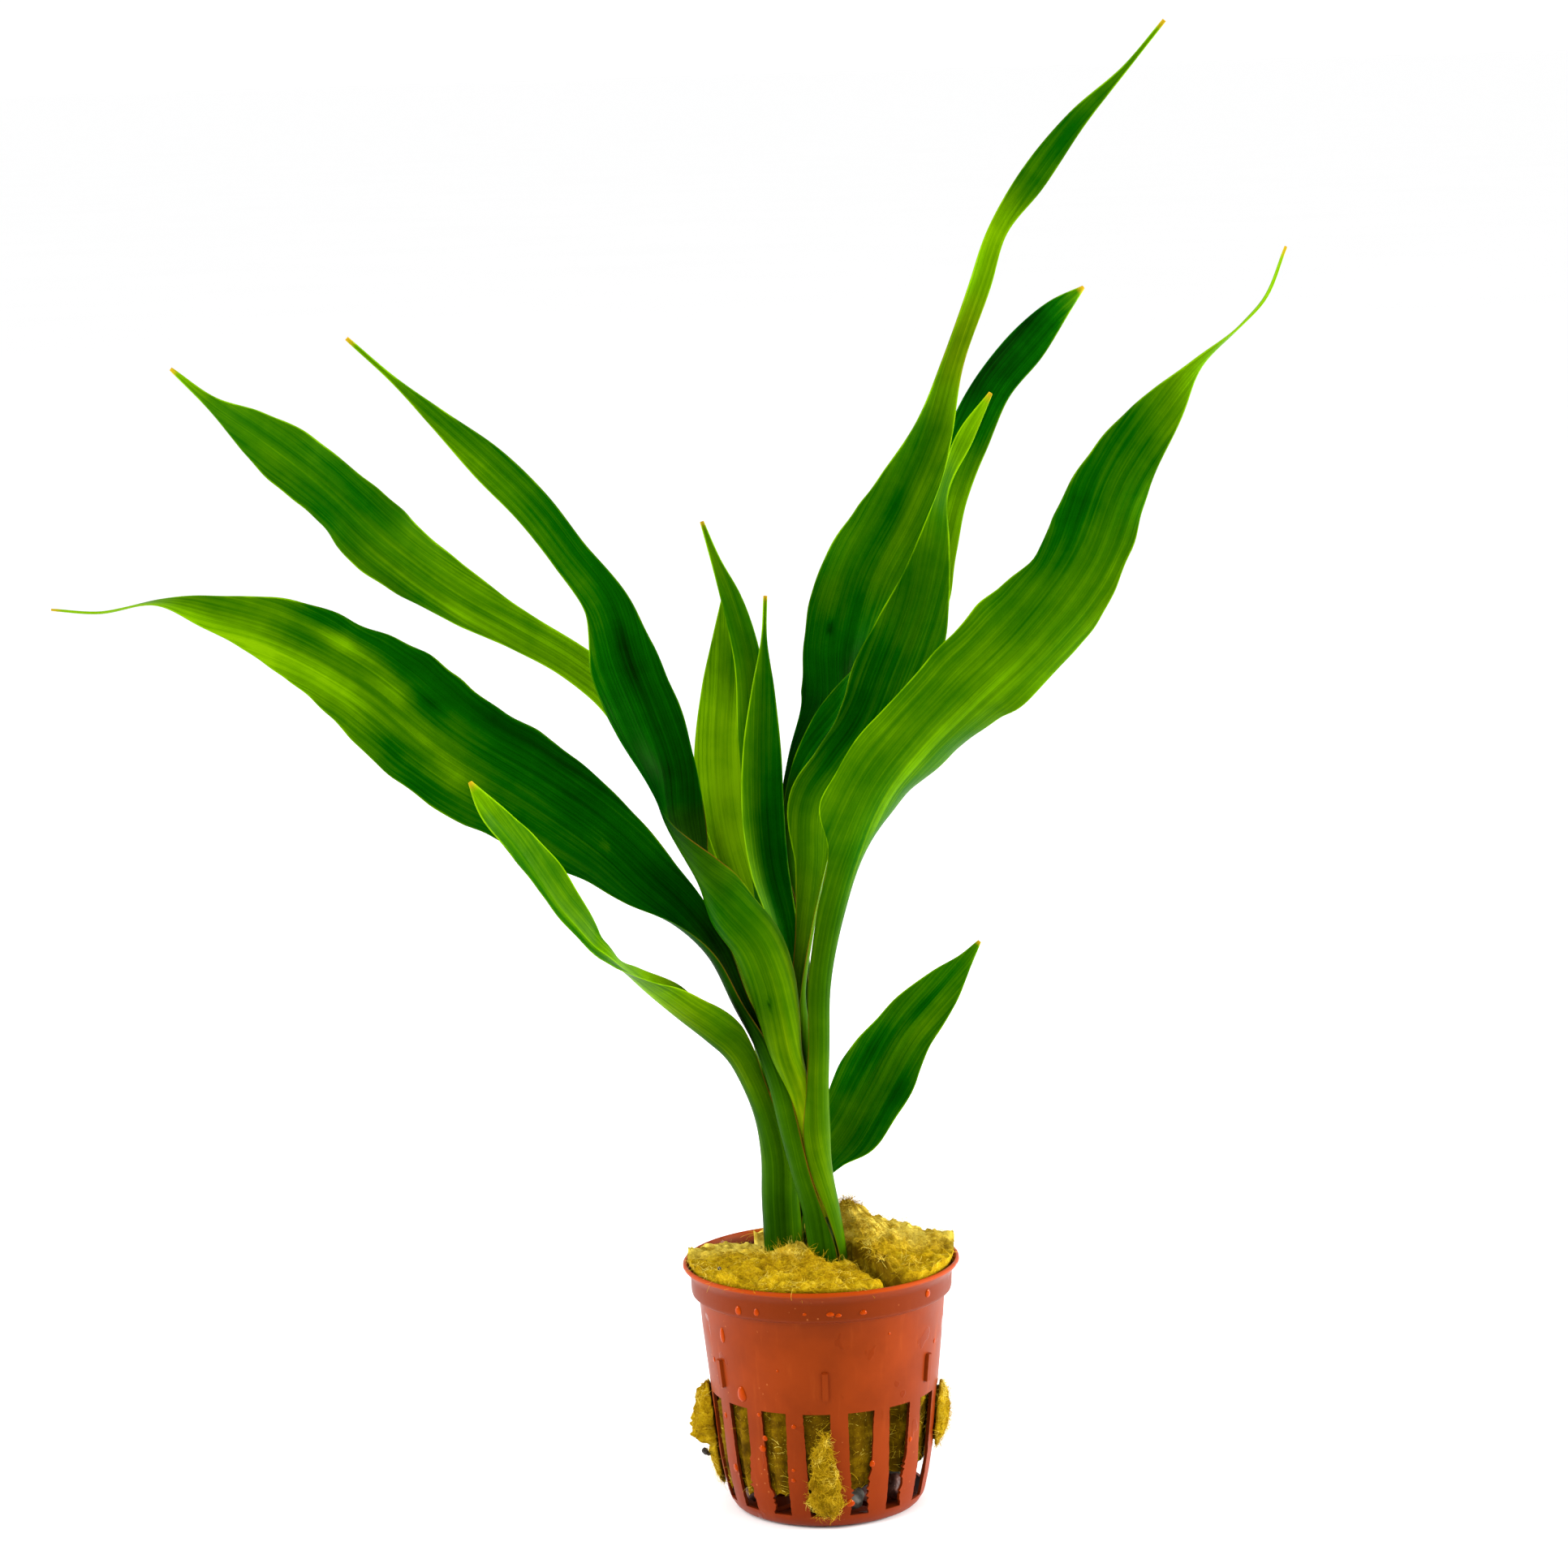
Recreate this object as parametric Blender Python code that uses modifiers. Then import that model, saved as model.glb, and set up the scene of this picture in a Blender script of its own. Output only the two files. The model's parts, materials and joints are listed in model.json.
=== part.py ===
"""Young lucky bamboo with two leafy shoots, growing from rockwool in a net pot.

Metres, +Z up. The origin is the middle of the pot's underside, and -Y is the front.
"""
import math

import bmesh
import bpy
import numpy as np
from mathutils import Vector, noise

MM = 0.001
GAP = 0.3 * MM

# Pot
FLOOR_THICKNESS = 1.2 * MM
POT_STEPS = 48
# Radius and height in mm down the outer side of the pot, from the lip to the foot.
POT_OUTSIDE = [(27.8, 50.6), (27.9, 49.9), (27.0, 48.9), (26.4, 47.9), (26.3, 45.0), (25.9, 44.2),
               (24.8, 43.6), (24.4, 38.0), (23.1, 25.5), (21.8, 11.7), (20.2, 3.4), (18.9, 0.7),
               (17.8, 0.0)]
# Radius and height in mm up the inner side, from the floor to the lip.
POT_INSIDE = [(17.7, 1.2), (19.3, 4.2), (20.9, 11.7), (22.2, 25.5), (23.5, 38.0), (23.9, 43.0),
              (25.3, 44.6), (25.4, 47.8), (27.1, 50.5)]
SLOT_COUNT = 16
SLOT_FIRST_ANGLE = 266.7
SLOT_BOTTOM = 2.6 * MM
SLOT_TOP = 24.6 * MM
SLOT_TOP_WIDTH = 5.2 * MM
SLOT_BOTTOM_WIDTH = 3.5 * MM
SLOT_INNER_RADIUS = 15.0 * MM
SLOT_OUTER_RADIUS = 27.0 * MM
FIN_COUNT = 6
FIN_SIZE = (1.5 * MM, 1.7 * MM, 5.6 * MM)
FIN_HEIGHT = 30.0 * MM
FIN_RADIUS = 23.3 * MM
FIN_LEAN = 6.0
DRAIN_COUNT = 8
DRAIN_SIZE = (2.4 * MM, 7.0 * MM, 4.0 * MM)
DRAIN_RADIUS = 11.5 * MM

# Rockwool
WOOL_BOTTOM = 9.5 * MM
WOOL_EDGE_DROP = 0.7
WOOL_STILL_SHARE = 0.95
WOOL_STEPS = 40
WOOL_ROUGHNESS = 0.9 * MM
WOOL_GRAIN = 5.0 * MM
# Room in mm between the wool and the inside of the pot's wall.
WOOL_WALL_ROOM = 0.45
# Heights in mm of the rings up the side of a block, below its own top edge.
WOOL_SIDE_HEIGHTS = [9.5, 14.0, 22.0, 32.0, 43.0, 45.2, 47.6, 49.4]
# How far the rings of a block's top shrink towards its middle.
WOOL_TOP_RINGS = [1.0, 0.96, 0.84, 0.66, 0.46, 0.24]
WOOL_MOUND = 1.4
# Plan and top edge in mm round each block; the stems stand in the tear between the two.
WOOL_FRONT = [(-27.2, 1.5, 51.9), (-24.0, 8.0, 52.0), (-17.5, 9.5, 52.3), (-12.0, 8.5, 52.6),
              (-7.0, 6.0, 53.0), (-2.5, 1.0, 53.0), (2.0, -4.0, 52.6), (6.3, -8.0, 52.3),
              (8.8, -14.0, 51.8), (12.2, -21.5, 51.5), (10.0, -24.8, 51.5), (4.0, -26.7, 51.5),
              (-5.0, -26.9, 51.6), (-14.0, -23.2, 51.7), (-21.5, -16.8, 51.8), (-25.8, -8.5, 51.9)]
WOOL_FRONT_MIDDLE = (-7.0, -10.0, 54.0)
WOOL_BACK = [(-14.0, 12.0, 51.8), (-9.0, 10.0, 53.0), (-4.5, 7.5, 54.0), (0.0, 2.8, 54.4),
             (4.0, -1.5, 54.0), (8.4, -6.5, 53.4), (10.9, -13.5, 52.2), (14.2, -20.6, 51.4),
             (18.2, -19.3, 51.4), (23.8, -12.0, 51.7), (26.8, -3.0, 52.0), (27.4, 3.0, 53.0),
             (24.6, 9.0, 50.8), (18.5, 16.0, 50.4), (10.0, 20.5, 50.8), (2.0, 21.5, 51.6),
             (-6.0, 20.0, 51.6), (-13.0, 17.0, 51.2)]
WOOL_BACK_MIDDLE = (6.5, 11.5, 58.8)
HOLE_RADIUS = 4.22 * MM
HOLE_SIDES = 24
# Heights in mm of the rings of a stem hole, which leans with its shoot.
HOLE_HEIGHTS = [31.5, 38.0, 44.0, 50.0, 56.0, 64.0]
# Tufts pushed out through a slot. A neck fills the slot, and a pad lies on the wall outside it.
TUFT_NECK_WIDTH = 2.9 * MM
TUFT_NECK_INNER = 17.0 * MM
TUFT_NECK_INSET = 1.0
TUFT_NECK_PAST_WALL = 0.9
TUFT_WALL_ROOM = 0.4
TUFT_EDGE_THICKNESS = 0.5
TUFT_UNEVENNESS = 0.3
TUFT_RINGS = 9
TUFT_ACROSS = 9
# Slot number, lowest and highest edge, spread and stand-off of each tuft, all in mm.
FRONT_TUFTS = [(12, 7.0, 24.5, 5.2, 3.6), (0, 3.4, 20.0, 3.0, 1.8)]
BACK_TUFTS = [(4, 12.0, 25.0, 3.2, 1.2)]

# Pebbles: middle x and y, radius across and up, all in mm, and turn about Z.
PEBBLE_NARROWING = 0.82
PEBBLE_DENTS = 0.18
PEBBLES = [(-13.2, -6.3, 3.1, 2.6, 20), (-12.5, 5.5, 3.0, 2.3, 80), (-5.0, -13.0, 2.9, 2.4, 140),
           (4.5, -12.5, 3.1, 2.2, 50), (13.5, -6.5, 3.2, 2.7, 110), (13.0, 4.0, 3.1, 2.3, 10),
           (2.0, 12.0, 3.4, 2.6, 70)]

# Shoots: middle x, y and z of each in mm, from inside the rockwool upwards.
SHOOT_RIGHT = [(3.0, -4.0, 31.8), (2.1, -4.0, 44.0), (1.5, -4.0, 52.0), (0.5, -4.0, 60.0),
               (-0.8, -4.0, 68.5), (-1.8, -3.7, 76.5), (-2.1, -2.9, 85.0)]
SHOOT_LEFT = [(-6.3, 5.0, 31.8), (-6.8, 5.0, 44.0), (-7.1, 5.0, 52.0), (-7.5, 5.0, 61.0),
              (-7.6, 5.0, 71.5), (-8.0, 5.0, 81.5), (-8.1, 5.1, 85.0)]
SHOOTS = {"right": SHOOT_RIGHT, "left": SHOOT_LEFT}
# Cane inside each shoot: height and radius in mm.
CANE_RADII = [(31.8, 2.6), (42.0, 2.9), (57.0, 2.9), (59.5, 1.9), (69.0, 1.9), (71.5, 0.75),
              (81.0, 0.65), (84.0, 0.4)]

# Leaves
BLADE_THICKNESS = 0.62 * MM
TIP_WIDTH = 0.8 * MM
# Mean length of a leaf's steps in mm, and how much shorter they get towards its base.
LEAF_STEP = 9.0
LEAF_STEP_GROWTH = 1.25
# The margins of an open blade wave, in a different beat on each side.
WAVE_HEIGHT = 1.1 * MM
WAVE_LENGTH = 31.0 * MM
WAVE_BEAT_STEP = 1.3
WAVE_SIDE_STEP = 1.9
WAVE_EDGE_POWER = 2.5
WAVE_LEAST_WIDTH = 8.0 * MM


def curl(x, y, height, side, radius, wrap):
    """Row of a leaf where its section is an arc round x, y; side is the way its midrib looks."""
    angle = math.radians(side)
    return (x + radius * math.cos(angle), y + radius * math.sin(angle), height,
            radius * math.radians(wrap), side - 90.0, wrap, 0)


def sheath(shoot, height, side, radius, wrap):
    """Row of a leaf where it wraps the middle line of its shoot."""
    heights = [point[2] for point in SHOOTS[shoot]]
    x = np.interp(height, heights, [point[0] for point in SHOOTS[shoot]])
    y = np.interp(height, heights, [point[1] for point in SHOOTS[shoot]])
    return curl(x, y, height, side, radius, wrap)


# Each row of a leaf, from base to tip: x, y and z of the midrib, width over the curve, roll,
# channel and fold. Roll 0 turns the upper face to the front, channel is how far the section
# curls from edge to edge, and fold is what the half on the right curls more than the left one.
# Lengths are in mm and angles in degrees.
LEAVES = {
    "leaf_far_left": [
        sheath("right", 44, 182, 3.55, 235), sheath("right", 53, 182, 3.55, 235),
        sheath("right", 62, 181, 3.55, 186), curl(-1.5, -4.0, 69, 180, 3.65, 176),
        curl(-3.9, -4.2, 77, 180, 3.2, 180), curl(-6.4, -4.5, 88, 180, 3.05, 160),
        (-12.0, -4.5, 96, 8.2, 88, 148, 0), (-15.5, -4.1, 103.4, 9.0, 82, 142, 0),
        (-20.6, -2.6, 114.6, 10.6, 70, 130, 0), (-26.3, -1.0, 121.6, 13.0, 53, 114, 0),
        (-32.8, 0.6, 127.5, 15.8, 36, 92, 0), (-40.4, 2, 135, 18.8, 26, 62, 0),
        (-53.4, 4, 144.8, 22.8, 14, 42, 0), (-70.5, 5, 156, 23.8, 10, 28, 0),
        (-89, 6, 171.5, 20.6, 8, 22, 0), (-106, 6, 181, 12.8, 6, 16, 0),
        (-117, 5, 184.5, 7.2, 14, 14, 0), (-127.5, 4, 187, 4.0, 78, 8, 0),
        (-139.5, 3, 185.5, 1.8, 105, 5, 0), (-148.5, 2, 186.5, 0.8, 110, 5, 0)],
    "leaf_right": [
        sheath("right", 44, 362, 3.55, 105), sheath("right", 53, 362, 3.55, 105),
        sheath("right", 62, 353, 3.55, 130), sheath("right", 69, 339, 3.5, 150),
        curl(-0.9, -4.3, 77, 314, 3.3, 160), curl(-0.5, -5.8, 86.5, 312, 2.8, 150),
        curl(0.1, -7.0, 96, 312, 2.6, 150), curl(0.5, -8.2, 108, 310, 2.75, 148),
        (4.8, -13, 122.5, 8.2, 214, 138, 0), (9.0, -17, 136.5, 12.0, 216, 116, 0),
        (11.4, -19.3, 143, 20.6, 216, 96, 0),
        (14.4, -21.5, 149, 20.6, 214, 80, 0), (21.6, -25, 158.5, 21.0, 208, 58, 0),
        (31, -29, 168.5, 20.2, 200, 42, 0), (42.6, -32, 180, 21.8, 192, 32, 0),
        (53.5, -35, 194.5, 17.2, 184, 24, 0), (60, -38, 210.5, 13.6, 183, 20, 0),
        (69, -41, 224, 7.8, 184, 14, 0), (74.5, -43.4, 231.2, 3.0, 215, 10, 0),
        (82.5, -47, 238.5, 2.0, 265, 5, 0), (86.5, -49, 243, 1.5, 280, 5, 0),
        (90.5, -52, 253, 0.8, 285, 5, 0)],
    "leaf_upper_left_front": [
        sheath("right", 60.5, 262, 2.62, 130), sheath("right", 69, 263, 2.62, 156),
        curl(-1.7, -3.9, 77, 266, 2.3, 172), curl(-2.8, -5.4, 86, 260, 2.0, 168),
        (-5.6, -10.0, 94.5, 6.6, 172, 150, 0), (-6.9, -11.2, 102.5, 9.2, 172, 140, 0),
        (-9.0, -12.4, 110.6, 12.6, 172, 132, 0), (-11.6, -13.2, 117.5, 13.2, 168, 125, 0),
        (-16.7, -13.8, 124, 13.6, 156, 120, 0), (-22.6, -14.2, 132.5, 16.0, 106, 138, 0),
        (-27.2, -14.4, 142.8, 16.0, 62, 130, 0), (-28.4, -15, 154, 13.6, 34, 80, 0),
        (-31.5, -16, 164.5, 14.2, 16, 48, 0), (-35, -18, 175, 13.2, 8, 34, 0),
        (-38, -20, 187, 9.0, 6, 22, 0), (-44.5, -23, 197, 7.4, 4, 18, 0),
        (-51, -26, 206.5, 7.5, 4, 18, 0), (-59, -29, 215.5, 7.2, 2, 16, 0),
        (-68, -32, 224.5, 3.9, 2, 12, 0), (-75.5, -35, 232, 1.4, 4, 8, 0),
        (-84, -38, 240.5, 0.8, 4, 5, 0)],
    "leaf_slim_right_shoot": [
        sheath("right", 62, 84, 2.62, 180), sheath("right", 72, 97, 2.45, 150),
        sheath("right", 78, 120, 2.35, 120), curl(-2.4, -2.9, 84, 140, 2.3, 104),
        curl(-3.5, -1.5, 92, 144, 2.2, 112),
        (-5.0, 1.2, 105, 6.0, 38, 130, 0), (-5.9, 1.6, 118, 6.6, 22, 110, 0),
        (-8.4, 1.4, 131, 8.8, 10, 85, 0), (-9.1, 1.2, 142, 9.2, 4, 70, 0),
        (-8.8, 1.2, 155, 8.0, 2, 58, 0), (-8.2, 1.0, 166.5, 4.8, 0, 50, 0),
        (-7.7, 0.0, 177, 1.2, 0, 30, 0), (-7.2, -1.8, 185.5, 0.8, 0, 10, 0)],
    "leaf_tallest": [
        curl(-2.0, -2.6, 86.5, 62, 0.65, 176), curl(-1.9, -1.5, 90, 60, 0.9, 168),
        curl(-1.5, 0.6, 96, 50, 1.2, 160), (-1.0, 3.8, 107, 5.0, -50, 160, 0),
        (-1.5, 5.6, 122, 7.4, -66, 165, 25), (-2.0, 5.8, 137, 11.5, -78, 150, 80),
        (1.4, 6.8, 150, 15.0, -72, 112, 150), (7.6, 7.6, 162, 19.6, -50, 80, 235),
        (8.8, 8.2, 174, 17.6, -22, 56, 90), (12.2, 9, 186.5, 18.6, -6, 44, 10),
        (20.4, 11, 201.5, 14.8, 0, 56, 0), (27, 12, 216, 8.6, 4, 84, 0),
        (31, 12, 229, 5.6, 6, 130, 0), (36.9, 11, 245, 5.2, 12, 110, 0),
        (40.6, 10, 255, 4.0, 4, 50, 0), (47.4, 6, 265, 5.6, 0, 22, 0), (56, 0, 276.5, 4.0, 0, 18, 0),
        (65.5, -6, 286.5, 1.2, 0, 10, 0), (72.5, -10, 295, 0.8, 0, 5, 0)],
    "leaf_behind_right": [
        sheath("right", 73, 84, 1.38, 118), sheath("right", 79, 78, 1.34, 114),
        curl(-2.0, -2.85, 84, 68, 1.32, 112), curl(-1.4, -0.6, 90, 54, 1.3, 120),
        curl(-2.1, 2.9, 96, 52, 1.4, 130),
        (-2.4, 6.8, 106, 4.4, -25, 135, 0), (-1.4, 9.8, 119, 5.4, -18, 120, 0),
        (5.2, 13.6, 136, 7.0, -12, 95, 0), (12.5, 17.8, 152, 9.2, -8, 72, 0),
        (18.5, 22, 167, 10.8, -4, 54, 0), (24, 26.5, 180, 11.4, 0, 44, 0),
        (27.2, 31, 191, 9.8, 2, 36, 0), (30.2, 35, 201, 9.4, 3, 32, 0),
        (35.2, 41, 212, 9.2, 3, 28, 0), (41, 47, 222, 8.2, 2, 24, 0), (48.5, 52.5, 230, 8.2, 0, 20, 0),
        (55, 57, 236.5, 5.2, 0, 14, 0), (61, 62, 241, 0.8, 0, 5, 0)],
    "leaf_middle_right": [
        sheath("right", 73, -72, 1.38, 118), sheath("right", 79, -70, 1.38, 116),
        sheath("right", 84, -66, 1.4, 116), curl(-2.05, -3.2, 90, -54, 1.5, 134),
        curl(-2.4, -3.1, 96, -34, 1.6, 148), (-1.9, -3.0, 107, 5.0, -66, 150, 0),
        (-0.4, -3.2, 118, 6.4, -54, 140, 0), (1.4, -3.8, 131, 9.2, -42, 120, 0),
        (3.0, -5.0, 145, 13.6, -28, 84, 0), (7.2, -6.0, 151, 13.4, -24, 74, 0),
        (12.4, -7.0, 158, 14.6, -18, 60, 0),
        (18.0, -8.0, 170.5, 15.8, -12, 46, 0), (23.2, -8.4, 184, 11.8, -8, 38, 0),
        (26, -9, 195.5, 6.6, -12, 34, 0), (28.4, -10, 206.5, 3.0, -52, 24, 0),
        (32.5, -12, 216.5, 3.5, -18, 16, 0), (37.5, -14, 225, 0.8, -10, 5, 0)],
    "leaf_lower_left": [
        sheath("left", 44, 222, 3.6, 226), sheath("left", 53, 222, 3.6, 226),
        sheath("left", 62, 222, 3.6, 206), curl(-7.5, 5.1, 71, 220, 3.75, 186),
        (-11.9, 1.8, 79.5, 9.6, 120, 150, 0), (-14.8, -0.5, 87.6, 10.0, 118, 146, 0),
        (-17.3, -4.0, 92.9, 12.0, 118, 140, 0), (-21.3, -8.6, 97.9, 15.5, 116, 132, 0),
        (-27.1, -13.6, 104.0, 15.5, 106, 128, 0), (-32.8, -18.6, 110.3, 13.0, 100, 105, -45),
        (-37.1, -22.8, 115.5, 7.8, 92, 50, -30), (-39.7, -25.0, 118.4, 7.0, 78, 30, 0),
        (-42.2, -27.0, 120.8, 7.4, 68, 48, 0), (-45.6, -29.0, 125.3, 9.4, 63, 68, 0),
        (-48.9, -31.0, 129.9, 10.8, 61, 74, 0), (-51.6, -33.0, 134.7, 11.2, 60, 74, 0),
        (-53.4, -35.0, 138.2, 10.2, 58, 70, 0), (-55.5, -37.0, 142.1, 8.8, 54, 60, 0),
        (-57.9, -40.0, 146.3, 6.8, 48, 54, 0), (-60.5, -43.0, 150.8, 4.8, 30, 40, 0),
        (-63.7, -46.0, 157.0, 0.8, 0, 5, 0)],
    "leaf_small_right": [
        sheath("left", 44, 41, 3.6, 112), sheath("left", 52, 41, 3.6, 112),
        sheath("left", 57.5, 38, 3.5, 108),
        (-2.6, 9.2, 62, 8.0, -50, 126, 0), (1.6, 13.8, 66.6, 10.0, -38, 102, 0),
        (6.0, 18.0, 71, 14.2, -22, 74, 0), (11.5, 22, 79.5, 16.2, -14, 54, 0),
        (18, 26, 90, 13.0, -8, 40, 0), (27.5, 30, 100, 7.8, -6, 28, 0),
        (32.0, 32.5, 104.5, 3.2, -4, 16, 0), (35, 34, 108, 0.8, 0, 5, 0)],
    "leaf_upper_left_back": [
        sheath("left", 61, 160, 2.62, 170), sheath("left", 72, 163, 2.5, 158),
        sheath("left", 84, 168, 2.45, 148), curl(-10.2, 6.6, 97, 168, 2.6, 145),
        curl(-13.4, 8.0, 109, 155, 3.0, 135), (-19.6, 11.0, 122, 7.4, 48, 120, 0),
        (-24.4, 12.6, 136, 8.0, 34, 104, 0), (-31.0, 14.2, 151, 8.4, 26, 80, 0),
        (-39.6, 16.2, 165.5, 8.4, 16, 60, 0), (-46.5, 18, 171, 7.6, 8, 46, 0),
        (-57, 22, 177, 8.2, 6, 36, 0), (-70.5, 28, 184.5, 11.8, 4, 28, 0),
        (-84, 35, 194, 14.4, 4, 24, 0), (-97.5, 43, 206, 12.9, 3, 20, 0),
        (-112, 51, 216.5, 9.4, 2, 18, 0), (-121.5, 57, 222.5, 3.0, 0, 14, 0),
        (-130.5, 63, 229.5, 0.8, 0, 5, 0)],
    "leaf_light_behind": [
        sheath("left", 73, 60, 1.5, 150), curl(-7.8, 5.3, 84, 64, 1.5, 146),
        curl(-7.2, 7.6, 96, 74, 1.75, 146), (-8.8, 12.6, 108, 6.4, -6, 125, 0),
        (-12.6, 15.4, 121, 9.0, 0, 92, 0), (-16.2, 18.8, 134, 11.2, 2, 64, 0),
        (-17.6, 22.6, 149, 10.8, 2, 46, 0), (-16.7, 27, 163, 8.6, 2, 36, 0),
        (-16, 31, 172.5, 5.2, 0, 22, 0), (-15.4, 36, 183, 0.8, 0, 5, 0)],
    "leaf_slim_left_shoot": [
        sheath("left", 73, 250, 1.5, 145), sheath("left", 84, 252, 1.5, 145),
        (-8.4, 3.6, 96, 4.4, 168, 145, 0), (-8.2, 5.6, 110, 4.8, 172, 125, 0),
        (-8.9, 8.4, 125, 5.8, 176, 100, 0), (-9.8, 9.8, 141, 6.4, 180, 76, 0),
        (-10.4, 10.2, 155, 6.6, 182, 60, 0), (-11.2, 9.8, 172, 5.6, 184, 46, 0),
        (-14, 10.6, 183.5, 4.3, 186, 34, 0), (-17, 12.2, 191.5, 2.0, 188, 20, 0),
        (-19.5, 14, 199, 0.8, 190, 5, 0)],
}
# Strips across each leaf.
LEAF_ACROSS_REST = 6
LEAF_ACROSS = {"leaf_far_left": 8, "leaf_right": 8, "leaf_upper_left_front": 8, "leaf_lower_left": 8}


def clear_scene():
    for thing in list(bpy.data.objects):
        bpy.data.objects.remove(thing, do_unlink=True)


def new_collection(name):
    collection = bpy.data.collections.new(name)
    bpy.context.scene.collection.children.link(collection)
    return collection


def plain_material(name, colour, roughness, metallic=0.0):
    material = bpy.data.materials.new(name)
    material.use_nodes = True
    shader = material.node_tree.nodes["Principled BSDF"]
    shader.inputs["Base Color"].default_value = (*colour, 1.0)
    shader.inputs["Roughness"].default_value = roughness
    shader.inputs["Metallic"].default_value = metallic
    return material


def add_object(name, mesh, collection, material=None, smooth_below=40.0):
    thing = bpy.data.objects.new(name, mesh)
    collection.objects.link(thing)
    if material:
        mesh.materials.append(material)
        mesh.shade_smooth()
        mesh.set_sharp_from_angle(angle=math.radians(smooth_below))
    return thing


def add_cutter(name, mesh, collection):
    cutter = add_object(name, mesh, collection)
    cutter.hide_render = True
    cutter.display_type = "WIRE"
    return cutter


def boolean(target, name, operation, cutter=None, collection=None):
    cut = target.modifiers.new(name, "BOOLEAN")
    cut.operation = operation
    cut.solver = "EXACT"
    if collection:
        cut.operand_type = "COLLECTION"
        cut.collection = collection
    else:
        cut.object = cutter
    return cut


def mesh_from_bmesh(name, work):
    bmesh.ops.recalc_face_normals(work, faces=work.faces)
    mesh = bpy.data.meshes.new(name)
    work.to_mesh(mesh)
    work.free()
    return mesh


def skin_rings(name, rings):
    """Closed skin over rings of points that all have the same count, with a fan at each end."""
    work = bmesh.new()
    loops = [[work.verts.new(point) for point in ring] for ring in rings]
    count = len(loops[0])
    for lower, upper in zip(loops, loops[1:]):
        for i in range(count):
            j = (i + 1) % count
            work.faces.new((lower[i], lower[j], upper[j], upper[i]))
    for loop in (loops[0], loops[-1]):
        middle = work.verts.new(sum((vert.co for vert in loop), Vector()) / count)
        for i in range(count):
            work.faces.new((middle, loop[i], loop[(i + 1) % count]))
    return mesh_from_bmesh(name, work)


def smooth_rows(rows, shares):
    """Rows read off one smooth line through the given rows, at shares of its length."""
    rows = np.array(rows, dtype=float)
    steps = np.linalg.norm(np.diff(rows[:, :3], axis=0), axis=1)
    lengths = np.concatenate(([0.0], np.cumsum(steps)))
    chords = np.diff(rows, axis=0) / steps[:, None]
    before, after = steps[:-1, None], steps[1:, None]
    inner = (chords[:-1] * after + chords[1:] * before) / (before + after)
    slopes = np.vstack((chords[:1], inner, chords[-1:]))
    at = np.asarray(shares) * lengths[-1]
    k = np.clip(np.searchsorted(lengths, at, side="right") - 1, 0, len(steps) - 1)
    step = steps[k][:, None]
    t = ((at - lengths[k]) / steps[k])[:, None]
    return (rows[k] * (2 * t**3 - 3 * t**2 + 1) + slopes[k] * step * (t**3 - 2 * t**2 + t)
            + rows[k + 1] * (3 * t**2 - 2 * t**3) + slopes[k + 1] * step * (t**3 - t**2))


def unit(vectors):
    return vectors / np.linalg.norm(vectors, axis=1)[:, None]


def leaf_surface(rows, count, across, phase):
    """Grid of points over the middle of a leaf, one line of them for each step from its base."""
    line = smooth_rows(rows, np.linspace(0.0, 1.0, count) ** LEAF_STEP_GROWTH)
    middle = line[:, :3] * MM
    width = np.maximum(line[:, 3] * MM, TIP_WIDTH)
    along = unit(np.gradient(middle, axis=0))
    front = np.array([0.0, -1.0, 0.0])
    facing = unit(front - along * (along @ front)[:, None])
    roll = np.radians(line[:, 4])[:, None]
    upper = facing * np.cos(roll) + np.cross(along, facing) * np.sin(roll)
    aside = np.cross(along, upper)
    channel = np.radians(line[:, 5])
    fold = np.radians(line[:, 6])
    travelled = np.concatenate(([0.0], np.cumsum(np.linalg.norm(np.diff(middle, axis=0), axis=1))))
    open_blade = np.clip(width / WAVE_LEAST_WIDTH - 1.0, 0.0, 1.0) * np.clip(1.4 - channel / 1.2, 0.0, 1.0)
    grid = []
    for u in np.linspace(-1.0, 1.0, across + 1):
        curl = channel + (fold if u > 0 else 0.0)
        flat = 0.5 * width * u * np.sinc(u * curl / 2 / math.pi)
        lift = 0.5 * width * u * np.sin(u * curl / 4) * np.sinc(u * curl / 4 / math.pi)
        beat = phase + (WAVE_SIDE_STEP if u > 0 else 0.0)
        wave = np.sin(2 * math.pi * travelled / WAVE_LENGTH + beat)
        lift = lift + WAVE_HEIGHT * open_blade * abs(u) ** WAVE_EDGE_POWER * wave
        grid.append(middle + aside * flat[:, None] + upper * lift[:, None])
    return np.stack(grid, axis=1)


def build_leaf(name, number, material, collection):
    rows = LEAVES[name]
    length = sum(math.dist(low[:3], high[:3]) for low, high in zip(rows, rows[1:]))
    across = LEAF_ACROSS.get(name, LEAF_ACROSS_REST)
    grid = leaf_surface(rows, round(length / LEAF_STEP), across, number * WAVE_BEAT_STEP)
    work = bmesh.new()
    verts = [[work.verts.new(point) for point in line] for line in grid]
    for lower, upper in zip(verts, verts[1:]):
        for i in range(len(lower) - 1):
            low_a, low_b, high_b, high_a = lower[i], lower[i + 1], upper[i + 1], upper[i]
            if 2 * i < len(lower) - 1:
                halves = ((low_a, low_b, high_b), (low_a, high_b, high_a))
            else:
                halves = ((low_a, low_b, high_a), (low_b, high_b, high_a))
            for half in halves:
                work.faces.new(half)
    mesh = bpy.data.meshes.new(name)
    work.to_mesh(mesh)
    work.free()
    leaf = add_object(name, mesh, collection, material, smooth_below=60.0)
    skin = leaf.modifiers.new("blade thickness", "SOLIDIFY")
    skin.thickness = BLADE_THICKNESS
    skin.offset = 0.0
    return leaf


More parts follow.
